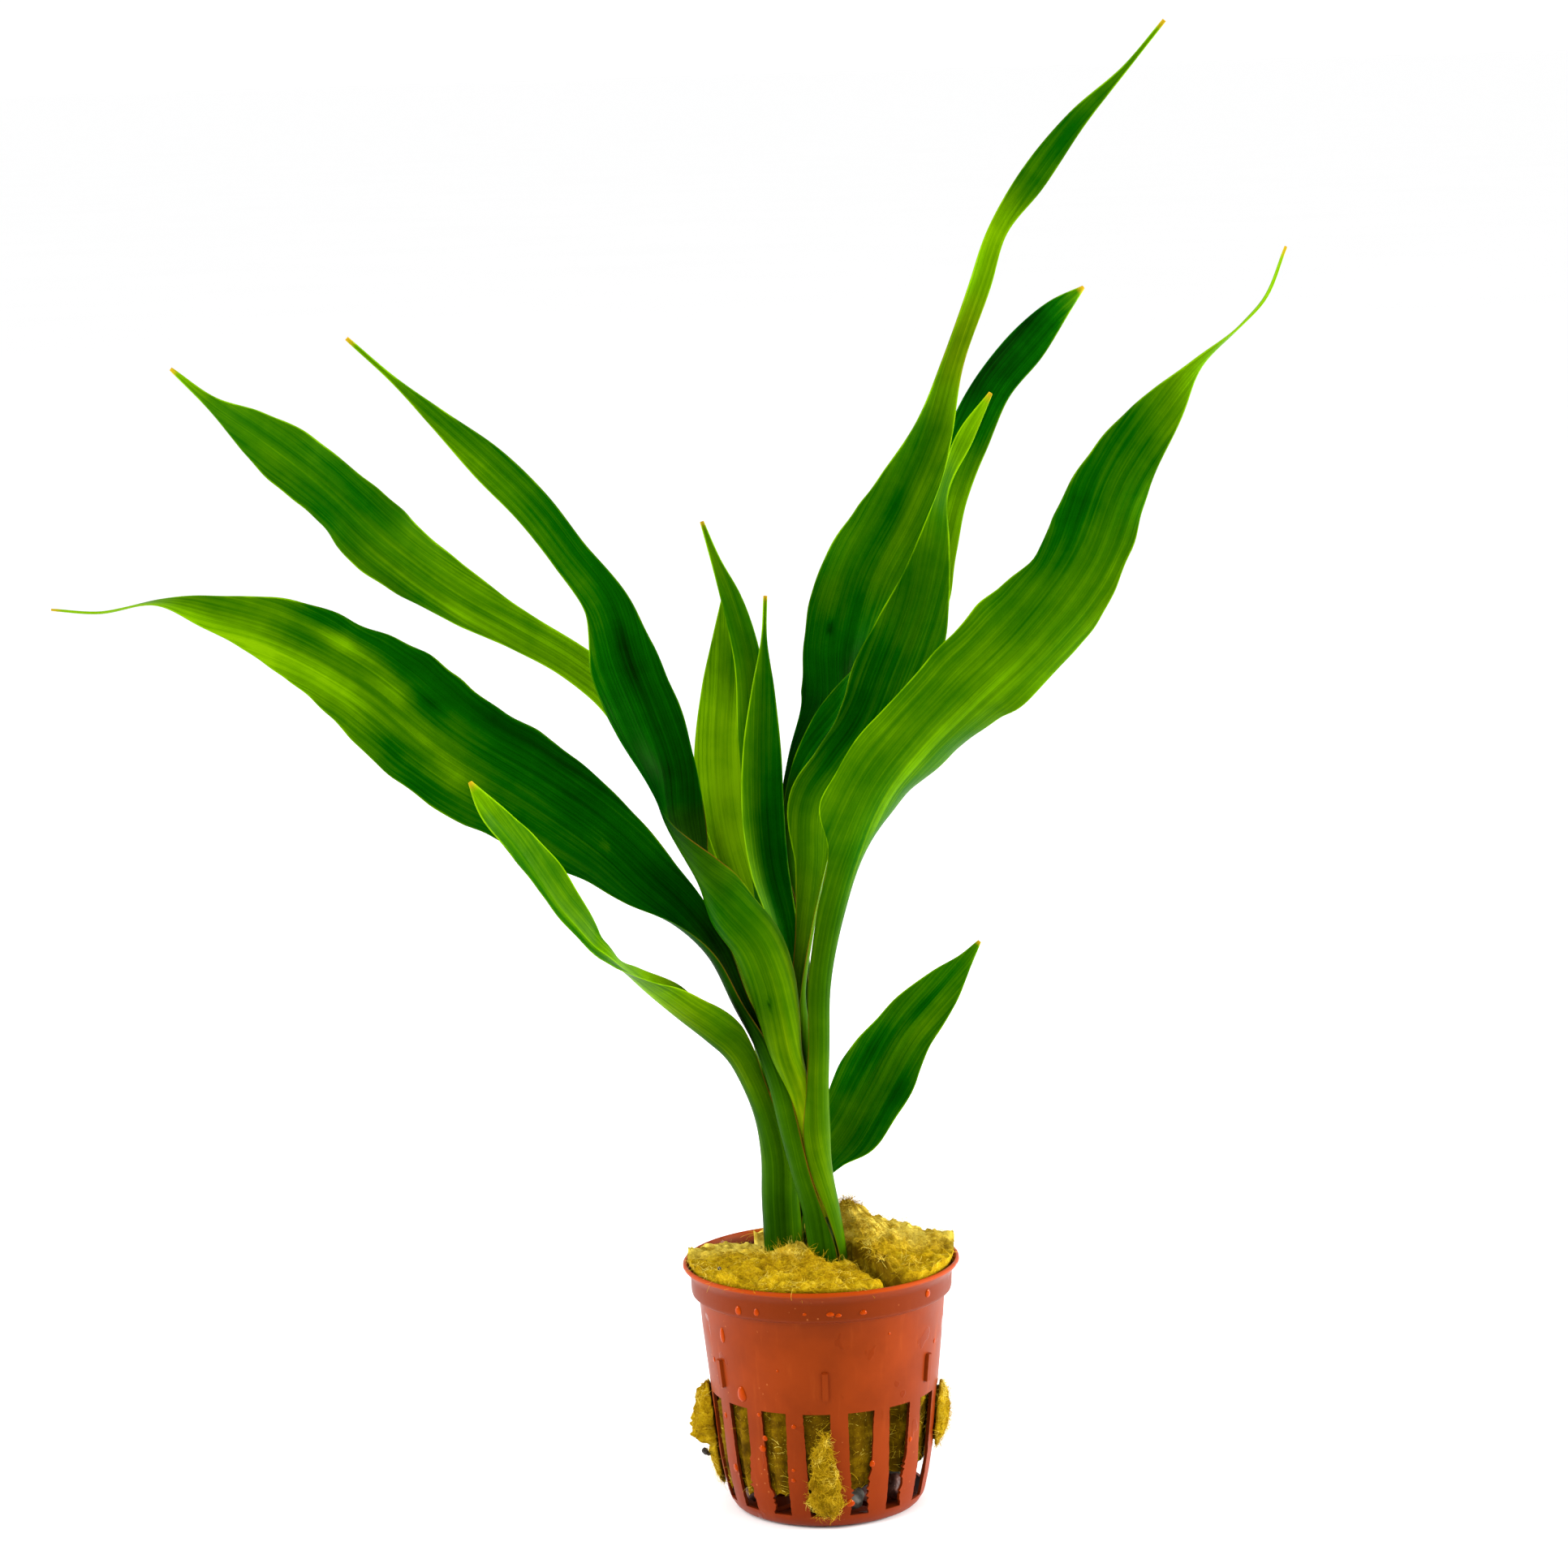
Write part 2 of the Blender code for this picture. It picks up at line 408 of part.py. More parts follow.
def shoot_middle(shoot, height):
    """Middle of a shoot at a height in mm, as a point in metres."""
    heights = [point[2] for point in shoot]
    x = np.interp(height, heights, [point[0] for point in shoot])
    y = np.interp(height, heights, [point[1] for point in shoot])
    return Vector((x, y, height)) * MM


def build_cane(name, shoot, radii, material, collection):
    """Cane inside a shoot: a round rod that gets thinner above each leaf it carries."""
    curve = bpy.data.curves.new(name, "CURVE")
    curve.dimensions = "3D"
    curve.bevel_depth = MM
    curve.bevel_resolution = 3
    curve.use_fill_caps = True
    spline = curve.splines.new("POLY")
    spline.points.add(len(radii) - 1)
    for point, (height, radius) in zip(spline.points, radii):
        point.co = (*shoot_middle(shoot, height), 1.0)
        point.radius = radius
    cane = bpy.data.objects.new(name, curve)
    curve.materials.append(material)
    collection.objects.link(cane)
    return cane


def pot_body(collection, material):
    """Turned shell of the pot: up its inner side, over the lip and down to its foot."""
    profile = [(0.0, FLOOR_THICKNESS / MM)] + POT_INSIDE + POT_OUTSIDE + [(0.0, 0.0)]
    work = bmesh.new()
    verts = [work.verts.new((radius * MM, 0.0, height * MM)) for radius, height in profile]
    for lower, upper in zip(verts, verts[1:]):
        work.edges.new((lower, upper))
    mesh = bpy.data.meshes.new("net_pot")
    work.to_mesh(mesh)
    work.free()
    pot = add_object("net_pot", mesh, collection, material)
    turn = pot.modifiers.new("turned wall", "SCREW")
    turn.axis = "Z"
    turn.steps = POT_STEPS
    turn.render_steps = POT_STEPS
    turn.use_merge_vertices = True
    turn.merge_threshold = 0.00001
    turn.use_smooth_shade = True
    return pot


def wedge_mesh(name, low_width, high_width, inner, outer, low, high):
    """Block that points along +X, with its own width at the bottom and at the top."""
    work = bmesh.new()
    bmesh.ops.create_cube(work, size=2.0)
    for vert in work.verts:
        width = high_width if vert.co.z > 0 else low_width
        vert.co = ((outer if vert.co.x > 0 else inner), vert.co.y * width / 2,
                   (high if vert.co.z > 0 else low))
    return mesh_from_bmesh(name, work)


def cut_pot(pot):
    """Side slots and floor drains, in rings round the pot."""
    slot = wedge_mesh("slot", SLOT_BOTTOM_WIDTH, SLOT_TOP_WIDTH, SLOT_INNER_RADIUS,
                      SLOT_OUTER_RADIUS, SLOT_BOTTOM, SLOT_TOP)
    for i in range(SLOT_COUNT):
        cutter = add_cutter(f"slot_cutter_{i}", slot, CUTTERS)
        cutter.rotation_euler.z = slot_angle(i)
    width, length, depth = DRAIN_SIZE
    drain = wedge_mesh("drain", width, width, DRAIN_RADIUS - length / 2,
                       DRAIN_RADIUS + length / 2, -depth / 2, depth / 2)
    for i in range(DRAIN_COUNT):
        cutter = add_cutter(f"drain_cutter_{i}", drain, CUTTERS)
        cutter.rotation_euler.z = math.radians(i * 360.0 / DRAIN_COUNT)
    boolean(pot, "slots and drains", "DIFFERENCE", collection=CUTTERS)


def add_fins(pot):
    """Short upright fins on the wall, above the slots."""
    width, depth, height = FIN_SIZE
    fin = wedge_mesh("fin", width, width, -depth / 2, depth / 2, -height / 2, height / 2)
    for i in range(FIN_COUNT):
        angle = math.radians(270.0 + i * 360.0 / FIN_COUNT)
        block = add_cutter(f"fin_{i}", fin, FINS)
        block.location = (FIN_RADIUS * math.cos(angle), FIN_RADIUS * math.sin(angle), FIN_HEIGHT)
        block.rotation_euler = (0.0, math.radians(FIN_LEAN), angle)
    boolean(pot, "fins", "UNION", collection=FINS)


def wall_room(height):
    """Largest radius in mm that rockwool may have at a height, inside the pot's wall."""
    if height > POT_OUTSIDE[0][1]:
        return math.inf
    heights = [point[1] for point in POT_INSIDE]
    return np.interp(height, heights, [point[0] for point in POT_INSIDE]) - WOOL_WALL_ROOM


def ruffle(point, strength):
    """Point moved a little by smooth noise, as torn wool is uneven."""
    spot = Vector(point) / WOOL_GRAIN
    return Vector(point) + Vector(noise.noise_vector(spot)) * strength


def closed_outline(points, count):
    """Even points round a smooth closed line through the given ones."""
    looped = points[-3:] + points + points[:3]
    steps = np.linalg.norm(np.diff(np.array(looped)[:, :3], axis=0), axis=1)
    lengths = np.concatenate(([0.0], np.cumsum(steps)))
    first, last = lengths[3], lengths[len(points) + 3]
    return smooth_rows(looped, np.linspace(first, last, count, endpoint=False) / lengths[-1])


def wool_block(name, outline, middle):
    """One torn half of the rockwool: its side follows the pot, and its top is a low mound."""
    edge = closed_outline(outline, WOOL_STEPS)
    rings = []
    for height in WOOL_SIDE_HEIGHTS:
        ring = []
        for x, y, _ in edge:
            room = min(1.0, wall_room(height) / math.hypot(x, y))
            ring.append(Vector((x * room, y * room, height)) * MM)
        rings.append(ring)
    for share in WOOL_TOP_RINGS:
        ring = []
        for x, y, top in edge:
            spot = Vector((middle[0] + (x - middle[0]) * share, middle[1] + (y - middle[1]) * share,
                           top + (middle[2] - top) * (1.0 - share) ** WOOL_MOUND))
            if share == 1.0:
                spot.z -= WOOL_EDGE_DROP
            ring.append(ruffle(spot * MM, WOOL_ROUGHNESS if share < WOOL_STILL_SHARE else 0.0))
        rings.append(ring)
    return skin_rings(name, rings)


def pot_radius(height):
    """Radius in mm of the pot's outer wall at a height in mm."""
    heights = [point[1] for point in reversed(POT_OUTSIDE)]
    return np.interp(height, heights, [point[0] for point in reversed(POT_OUTSIDE)])


def slot_angle(number):
    return math.radians(SLOT_FIRST_ANGLE + number * 360.0 / SLOT_COUNT)


def tuft_pad(name, slot, low, high, spread, stand_off):
    """Lump of wool that has spread over the outside of the pot round a slot."""
    rings = []
    for k in range(TUFT_RINGS):
        rise = k / (TUFT_RINGS - 1)
        height = low + (high - low) * rise
        wall = pot_radius(height) + TUFT_WALL_ROOM
        swell = math.sin(math.pi * (0.06 + 0.88 * rise)) ** 0.8
        outer, inner = [], []
        for j in range(TUFT_ACROSS):
            turn = 2.0 * j / (TUFT_ACROSS - 1) - 1.0
            angle = slot_angle(slot) + turn * swell * spread / wall
            bulge = TUFT_EDGE_THICKNESS + stand_off * swell * math.sqrt(1.0 - 0.95 * turn * turn)
            uneven = TUFT_UNEVENNESS * noise.noise(Vector((height * 0.5, turn * 2.0, slot)))
            radius = wall + bulge * (1.0 + uneven)
            outer.append(Vector((radius * math.cos(angle), radius * math.sin(angle), height)) * MM)
            inner.append(Vector((wall * math.cos(angle), wall * math.sin(angle), height)) * MM)
        rings.append(outer + inner[::-1])
    return skin_rings(name, rings)


def add_tufts(block, tufts):
    """Wool pushed out through the slots: a neck through each slot, and a pad outside it."""
    for slot, low, high, spread, stand_off in tufts:
        pad = add_cutter(f"tuft_pad_{slot}", tuft_pad("tuft_pad", slot, low, high, spread, stand_off),
                         TUFTS)
        neck_low = max(low, WOOL_BOTTOM / MM) * MM + TUFT_NECK_INSET * MM
        neck_high = min(high, SLOT_TOP / MM) * MM - TUFT_NECK_INSET * MM
        neck = add_cutter(f"tuft_neck_{slot}", wedge_mesh(
            "tuft_neck", TUFT_NECK_WIDTH, TUFT_NECK_WIDTH, TUFT_NECK_INNER,
            (pot_radius(neck_low / MM) + TUFT_NECK_PAST_WALL) * MM, neck_low, neck_high), TUFTS)
        neck.rotation_euler.z = slot_angle(slot)
        boolean(block, f"neck in slot {slot}", "UNION", cutter=neck)
        boolean(block, f"pad at slot {slot}", "UNION", cutter=pad)


def cut_stem_holes(block):
    """Plain holes that the two shoots stand in."""
    for name, shoot in SHOOTS.items():
        rings = []
        for height in HOLE_HEIGHTS:
            middle = shoot_middle(shoot, height)
            rings.append([middle + Vector((math.cos(turn), math.sin(turn), 0.0)) * HOLE_RADIUS
                          for turn in np.linspace(0.0, 2 * math.pi, HOLE_SIDES, endpoint=False)])
        cutter = add_cutter(f"hole_{name}_{block.name}", skin_rings("hole", rings), STEM_HOLES)
        boolean(block, f"hole for the {name} shoot", "DIFFERENCE", cutter=cutter)


def build_wool(name, outline, middle, tufts, material, collection):
    block = add_object(name, wool_block(name, outline, middle), collection, material)
    add_tufts(block, tufts)
    cut_stem_holes(block)
    return block


def build_pebble(number, place, materials, collection):
    x, y, across, up, turn = place
    work = bmesh.new()
    bmesh.ops.create_icosphere(work, subdivisions=2, radius=1.0)
    for vert in work.verts:
        dent = 1.0 + PEBBLE_DENTS * noise.noise(vert.co * 1.3 + Vector((number * 7.0, 0.0, 0.0)))
        narrow = across * PEBBLE_NARROWING
        vert.co = Vector((vert.co.x * across, vert.co.y * narrow, vert.co.z * up)) * dent * MM
    lowest = min(vert.co.z for vert in work.verts)
    pebble = add_object(f"pebble_{number}", mesh_from_bmesh("pebble", work), collection,
                        materials[number % len(materials)])
    pebble.location = (x * MM, y * MM, FLOOR_THICKNESS + GAP - lowest)
    pebble.rotation_euler.z = math.radians(turn)
    return pebble


clear_scene()
PLANT = new_collection("potted lucky bamboo")
CUTTERS = new_collection("slot and drain cutters")
FINS = new_collection("fins")
STEM_HOLES = new_collection("stem holes")
TUFTS = new_collection("tufts")

TERRACOTTA = plain_material("terracotta plastic", (0.55, 0.12, 0.035), 0.45)
WOOL = plain_material("rockwool", (0.42, 0.33, 0.04), 0.95)
LEAF_GREEN = plain_material("leaf green", (0.06, 0.25, 0.01), 0.4)
CANE_GREEN = plain_material("cane green", (0.20, 0.38, 0.04), 0.5)
PALE_STONE = plain_material("pale stone", (0.62, 0.60, 0.55), 0.7)
RED_STONE = plain_material("reddish stone", (0.22, 0.09, 0.06), 0.7)

net_pot = pot_body(PLANT, TERRACOTTA)
cut_pot(net_pot)
add_fins(net_pot)
build_wool("rockwool_front", WOOL_FRONT, WOOL_FRONT_MIDDLE, FRONT_TUFTS, WOOL, PLANT)
build_wool("rockwool_back", WOOL_BACK, WOOL_BACK_MIDDLE, BACK_TUFTS, WOOL, PLANT)
for index, pebble_place in enumerate(PEBBLES):
    build_pebble(index + 1, pebble_place, (PALE_STONE, RED_STONE), PLANT)
build_cane("cane_right", SHOOT_RIGHT, CANE_RADII, CANE_GREEN, PLANT)
build_cane("cane_left", SHOOT_LEFT, CANE_RADII, CANE_GREEN, PLANT)
for index, leaf_name in enumerate(LEAVES):
    build_leaf(leaf_name, index, LEAF_GREEN, PLANT)
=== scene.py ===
"""Looks of a young lucky bamboo: two leafy shoots in rockwool, in a slotted net pot.

Metres, +Z up. The origin is the middle of the pot's underside, and -Y is the front.
"""
import itertools
import json
import math
import random

import bmesh
import bpy
import numpy as np
from mathutils import Matrix, Vector, noise

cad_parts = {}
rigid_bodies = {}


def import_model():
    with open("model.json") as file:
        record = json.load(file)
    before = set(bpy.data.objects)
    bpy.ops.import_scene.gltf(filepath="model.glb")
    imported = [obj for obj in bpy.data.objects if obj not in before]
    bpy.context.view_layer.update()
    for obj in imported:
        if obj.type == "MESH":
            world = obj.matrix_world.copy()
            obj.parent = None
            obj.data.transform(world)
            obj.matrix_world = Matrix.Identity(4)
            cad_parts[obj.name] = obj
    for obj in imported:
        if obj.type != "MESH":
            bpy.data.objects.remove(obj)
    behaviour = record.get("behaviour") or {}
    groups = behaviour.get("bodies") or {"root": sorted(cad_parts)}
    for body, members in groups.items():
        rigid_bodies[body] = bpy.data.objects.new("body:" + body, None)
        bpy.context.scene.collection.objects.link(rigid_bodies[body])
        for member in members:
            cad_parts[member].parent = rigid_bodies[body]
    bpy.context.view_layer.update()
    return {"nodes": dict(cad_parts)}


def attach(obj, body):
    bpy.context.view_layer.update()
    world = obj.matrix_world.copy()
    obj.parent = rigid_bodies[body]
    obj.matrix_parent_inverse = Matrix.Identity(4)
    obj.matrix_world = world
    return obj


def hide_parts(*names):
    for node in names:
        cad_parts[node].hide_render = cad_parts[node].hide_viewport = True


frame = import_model()

MM = 0.001
BODY = "root"

# Camera: the photograph looks down a little from the front, and its content leans to the left.
CAMERA_PLACE = (-0.00461, -0.88892, 0.28839)
CAMERA_PITCH = 9.0
CAMERA_ROLL = 1.7
CAMERA_LENS = 103.98

# Pot
POT_STEPS = 192
# Radius and height in mm down the outer side of the pot, from the lip to the foot.
POT_OUTSIDE = [(27.35, 50.62), (27.7, 50.55), (27.9, 50.3), (27.92, 49.95), (27.75, 49.7), (27.1, 49.0),
               (26.6, 48.3), (26.42, 47.7), (26.36, 46.5), (26.3, 44.9), (26.15, 44.4), (25.8, 44.1),
               (25.0, 43.75), (24.8, 43.4), (24.4, 38.0), (23.78, 32.0), (23.1, 25.5), (22.46, 18.6),
               (21.8, 11.7), (21.1, 7.5), (20.2, 3.4), (19.7, 1.9), (18.9, 0.7), (18.4, 0.25), (17.8, 0.0)]
# Radius and height in mm up the inner side, from the floor to the lip.
POT_INSIDE = [(18.2, 1.1), (19.1, 1.9), (19.6, 3.6), (20.45, 7.5), (21.1, 11.7), (21.76, 18.6),
              (22.4, 25.5), (23.08, 32.0), (23.7, 38.0), (24.1, 43.3), (24.6, 43.9), (25.4, 44.5),
              (25.6, 46.5), (25.7, 47.9), (26.2, 48.9), (27.0, 49.9), (27.15, 50.4)]
FLOOR_THICKNESS = 1.1
SLOT_COUNT = 16
SLOT_FIRST_ANGLE = 265.3
SLOT_BOTTOM = 2.6
SLOT_TOP = 24.6
SLOT_TOP_WIDTH = 5.5
SLOT_BOTTOM_WIDTH = 3.9
SLOT_POINTS = 44
SLOT_ROUGHNESS = 0.07
SLOT_CUT_RADII = (15.5, 27.0)
# Slots with torn flash on their edges: number, lowest and highest torn height, depth of the flash.
TORN_SLOTS = {14: (3.0, 14.5, 1.3), 15: (3.0, 8.5, 1.0), 1: (3.0, 12.0, 0.9), 2: (3.0, 13.5, 1.2),
              6: (3.0, 10.0, 0.9), 9: (4.0, 13.0, 1.0), 11: (3.0, 9.0, 0.8)}
# How full the flash is along its height, its least share and how uneven it is.
FLASH_FULLNESS = 0.6
FLASH_LEAST = 0.2
FLASH_UNEVENNESS = 1.4
FIN_COUNT = 6
FIN_SIZE = (1.3, 2.1, 5.8)
FIN_HEIGHT = 30.6
FIN_RADIUS = 23.25
FIN_LEAN = 6.0
FIN_BEVEL = 0.08
DRAIN_COUNT = 8
DRAIN_SIZE = (2.4, 7.0, 4.0)
DRAIN_RADIUS = 11.5
# Water drops on the wall: angle, height, radius and how much taller than wide.
DROPS = [(230.5, 45.7, 0.75, 1.3), (240.0, 45.9, 0.6, 1.3), (273.0, 46.0, 0.8, 0.6),
         (276.5, 45.7, 0.6, 0.7), (287.5, 45.9, 0.75, 0.7), (322.5, 46.9, 0.75, 1.2),
         (214.5, 38.9, 0.75, 2.2), (202.5, 32.6, 0.45, 1.3), (224.5, 27.4, 1.15, 1.45),
         (234.5, 23.7, 0.45, 1.0), (237.0, 18.9, 0.6, 1.0), (235.0, 16.6, 0.75, 1.0),
         (212.0, 10.7, 0.7, 1.3), (253.5, 22.0, 0.5, 1.0), (252.0, 12.7, 0.4, 1.0),
         (251.5, 10.5, 0.45, 1.0), (282.0, 5.4, 0.95, 0.9), (294.0, 13.4, 0.6, 1.2),
         (319.0, 16.5, 0.45, 1.3), (337.0, 35.2, 0.35, 1.6), (262.0, 46.1, 0.4, 0.8),
         (247.0, 33.6, 0.3, 1.0), (208.0, 21.4, 0.5, 1.4), (302.0, 40.2, 0.28, 1.0),
         (20.0, 36.0, 0.6, 1.4), (58.0, 28.0, 0.7, 1.3), (95.0, 46.0, 0.6, 1.0), (128.0, 33.0, 0.8, 1.5),
         (160.0, 12.0, 0.5, 1.1), (75.0, 10.0, 0.55, 1.2)]
DROP_FLATNESS = 0.40
DROP_SAG = 0.18
DROP_WOBBLE = 0.12
DROP_WOBBLE_TURNS = 1.4

# Rockwool: where its side ends at the foot and the top, and its gap to the wall and over the lip.
WOOL_BOTTOM = 9.5
WOOL_SIDE_TOP = 49.5
WOOL_WALL_ROOM = 0.35
WOOL_LIP_RADIUS = 26.9
WOOL_LIP_HEIGHT = 50.0
# Points round a block, step up its side, rings over its mound, how they crowd and its roundness.
WOOL_STEPS = 320
WOOL_SIDE_STEP = 0.75
WOOL_TOP_RINGS = 46
WOOL_RING_CROWDING = 0.9
WOOL_MOUND = 1.8
# Plan and top edge in mm round each block; the stems stand in the tear between the two.
WOOL_FRONT = [(-27.2, 1.5, 51.9), (-24.0, 7.5, 51.9), (-17.5, 8.5, 51.7), (-12.0, 8.0, 51.4),
              (-7.0, 6.0, 53.0), (-2.5, 1.0, 53.0), (2.0, -4.0, 52.6), (6.3, -8.0, 52.3),
              (8.8, -14.0, 51.8), (12.2, -21.5, 51.5), (10.0, -24.8, 51.5), (4.0, -26.7, 51.5),
              (-5.0, -26.9, 51.6), (-14.0, -23.2, 51.7), (-21.5, -16.8, 51.8), (-25.8, -8.5, 51.9)]
WOOL_FRONT_MIDDLE = (-7.0, -10.0, 54.0)
WOOL_BACK = [(-13.2, 12.2, 52.6), (-8.6, 10.0, 53.4), (-4.5, 7.5, 54.2), (0.0, 2.8, 54.8),
             (4.2, -1.2, 54.8), (8.8, -6.3, 54.4), (11.3, -13.1, 53.6), (14.4, -20.2, 52.4),
             (18.2, -19.3, 52.0), (23.8, -12.0, 51.9), (26.8, -3.0, 52.4), (27.8, 3.0, 54.0),
             (24.6, 9.0, 51.0), (18.5, 16.0, 50.6), (10.0, 20.5, 51.0), (2.0, 21.5, 52.0),
             (-6.0, 20.0, 52.6), (-11.8, 17.0, 52.2)]
WOOL_BACK_MIDDLE = (5.8, 10.5, 59.4)

# Pebbles: middle x and y, radius across and up, all in mm, and turn about Z.
PEBBLE_NARROWING = 0.82
# Dents of a stone: depth as a share of its radius, and how many there are across it.
PEBBLE_DENTS = [(0.18, 1.3), (0.02, 5.0), (0.008, 14.0)]
PEBBLE_SEAT = FLOOR_THICKNESS + 0.4
PEBBLES = [(-13.2, -6.3, 3.1, 2.6, 20), (-12.5, 5.5, 3.0, 2.3, 80), (-5.0, -13.0, 2.9, 2.4, 140),
           (4.5, -12.5, 3.1, 2.2, 50), (13.5, -6.5, 3.2, 2.7, 110), (13.0, 4.0, 3.1, 2.3, 10),
           (2.0, 12.0, 3.4, 2.6, 70)]

# Shoots: middle x, y and z of each in mm, from inside the rockwool upwards.
SHOOT_RIGHT = [(3.0, -4.0, 31.8), (2.1, -4.0, 44.0), (1.5, -4.0, 52.0), (0.5, -4.0, 60.0),
               (-0.8, -4.0, 68.5), (-1.8, -3.7, 76.5), (-2.1, -2.9, 85.0)]
SHOOT_LEFT = [(-6.3, 5.0, 31.8), (-6.8, 5.0, 44.0), (-7.1, 5.0, 52.0), (-7.5, 5.0, 61.0),
              (-7.6, 5.0, 71.5), (-8.0, 5.0, 81.5), (-8.1, 5.1, 85.0)]
SHOOTS = {"right": SHOOT_RIGHT, "left": SHOOT_LEFT}

# Torn top of the wool: height in mm, grain in mm, stretch along x and y, and seed of each layer.
TORN_LAYERS = [(1.1, 4.2, 1.0, 1.0, 0.0), (0.85, 1.7, 1.0, 1.0, 9.0),
               (0.45, 0.7, 0.5, 1.0, 4.0), (0.22, 0.35, 1.0, 0.6, 2.0)]
# Pits in the top: depth, grain, seed and the level of noise from which they open.
PITS = (2.6, 2.6, 31.0, 0.32)
# How far in mm the rings of the top wander, at the edge and growing inwards, with grain and seeds,
# and how much more the edge does where it is torn: inside a radius, and less from ring to ring.
WANDER = 0.55
WANDER_AT_EDGE = 0.3
WANDER_GROWTH = 6.0
WANDER_GRAIN = 1.3
WANDER_SEEDS = (17.0, 23.0)
TORN_EDGE_WANDER = 0.45
TORN_EDGE_RADIUS = 26.0
TORN_EDGE_FADE = 3.0
TORN_EDGE_POWER = 4
# The wool sinks away round each shoot: where the dip starts, how steep and how deep it is.
WOOL_HOLE_EDGE = 4.9
WOOL_HOLE_SLOPE = 0.9
WOOL_HOLE_DEPTH = 6.0
# Mean radius at which noise is laid round the wool.
WOOL_ROUND = 22.0
# Direction on which the wool stands back from the wall and how narrow that side is.
WOOL_LOOSE_SIDE = math.radians(345.0)
WOOL_LOOSE_POWER = 1.5
# On the other side it hangs down in rags: how far, grain and seed, least share and reach upwards.
WOOL_HANG = 5.2
WOOL_HANG_NOISE = (2.3, 8.0)
WOOL_HANG_LEAST = 0.7
WOOL_HANG_REACH = 8.0
# Hollows of the loose side, big and fine: depth, grain and seed step. The wool is tight above a height.
LOOSE_HOLLOWS = (1.6, 3.4, 5.0)
FINE_HOLLOWS = (0.5, 0.9, 3.0)
FINE_STRETCH = 0.6
WOOL_TIGHT_ABOVE = 40.0
WOOL_TIGHT_FADE = 3.0
# The wool is pressed out a little where a slot is open: how far, half width and gap to its ends.
WOOL_IN_SLOT = 1.1
WOOL_SLOT_HALF = 1.9
WOOL_SLOT_END_GAPS = (1.5, 1.0)
# Hollow in the wool's side: its direction, its reach round the block in degrees and its depth.
WOOL_HOLLOW = (309.0, 8.5, 4.6)
# Rough faces away from the wall: height in mm, grain and seed of each layer.
TORN_FACE_LAYERS = [(0.9, 1.9, 3.0), (0.5, 0.8, 6.0)]
TORN_FACE_GAP = 1.0
# Tear between the blocks: its line seen from above, how far in from it each block sinks and how deep.
CLEFT = [(3.0, -4.0), (7.4, -7.4), (9.9, -13.8), (13.2, -21.0)]
CLEFT_REACHES = (3.0, 1.5)
CLEFT_DEPTH = 6.5
# How far the painted shade of the tear reaches into each block.
CLEFT_SHADE_REACHES = (1.6, 6.0)
# Tufts pushed out through the slots: slot, shift aside, and rows of height, half width and how
# far the wool stands out there.
LEFT_TUFT = (12, 0.4, [(4.0, 0.5, 0.1), (6.0, 2.4, 1.0), (9.0, 2.8, 1.3), (12.0, 3.2, 1.2),
                       (13.4, 4.4, 3.4), (15.8, 5.0, 4.5), (18.0, 4.8, 3.6), (20.5, 4.4, 2.7),
                       (23.0, 3.6, 1.8), (24.8, 0.6, 0.2)])
FRONT_TUFT = (0, 1.2, [(3.0, 1.2, 0.2), (3.9, 2.9, 0.9), (6.0, 3.3, 1.3), (9.0, 3.1, 1.3),
                       (12.0, 2.6, 1.1), (15.0, 2.0, 0.9), (18.0, 1.2, 0.5), (20.5, 0.3, 0.1)])
RIGHT_TUFT = (4, 0.0, [(11.5, 0.4, 0.1), (13.2, 2.4, 1.0), (16.0, 3.2, 2.1), (19.0, 3.2, 1.9),
                       (22.5, 2.8, 1.2), (24.8, 0.6, 0.2)])
WOOL_BLOCKS = [("rockwool_front", WOOL_FRONT, WOOL_FRONT_MIDDLE, [LEFT_TUFT, FRONT_TUFT]),
               ("rockwool_back", WOOL_BACK, WOOL_BACK_MIDDLE, [RIGHT_TUFT])]
TUFT_RINGS = 60
TUFT_ACROSS = 44
TUFT_WALL_ROOM = 0.35
TUFT_EDGE = 0.3
# Neck of a tuft through its slot: half width, gap to the tuft's ends and to the slot's top, and
# the radius at which it starts.
TUFT_NECK_HALF = 1.4
TUFT_NECK_INSET = 1.5
TUFT_NECK_TOP_GAP = 1.0
TUFT_NECK_INNER = 18.0
# Unevenness of a tuft: of its width as a share, and of its line and its rows in mm.
TUFT_WIDTH_NOISE = (0.3, 1.6)
TUFT_LEAN_NOISE = (0.7, 1.9)
TUFT_ROW_NOISE = 1.3
TUFT_INNER_WIDTH = 0.94
# Clumps of a tuft: height, stretch aside and up, and grain of each layer.
TUFT_CLUMPS = [(0.42, 1.0, 1.0, 1.9), (0.22, 1.4, 0.5, 0.7), (0.10, 1.6, 0.5, 0.35)]
TUFT_CLUMP_SHARE = 0.8
TUFT_CLUMP_HEIGHT = 0.35
# Fibres: how many, lengths in mm, how steeply they stand, and seed.
TOP_FIBRES = (3600, (1.0, 3.4), (-0.05, 0.28), 11)
TUFT_FIBRES = (900, (0.6, 2.2), (-0.05, 0.35), 31)
SIDE_FIBRES = (900, (1.0, 3.0), (-0.1, 0.1), 51)
FIBRE_STEPS = 4
FIBRE_RADII = (0.018, 0.045)
FIBRE_BEND = 0.5
FIBRE_ARCHES = (0.05, 0.28)
FIBRE_ROOT = 0.1
# Fibres on the top keep off the shoots and the tear, those on the side are low and far out, and
# those on a tuft stand off the wall.
FIBRE_SHOOT_ROOM = 5.2
FIBRE_CLEFT_ROOM = 1.3
FIBRE_SIDE_TOP = 26.0
FIBRE_SIDE_RADIUS = 15.0
FIBRE_WALL_ROOM = 0.5
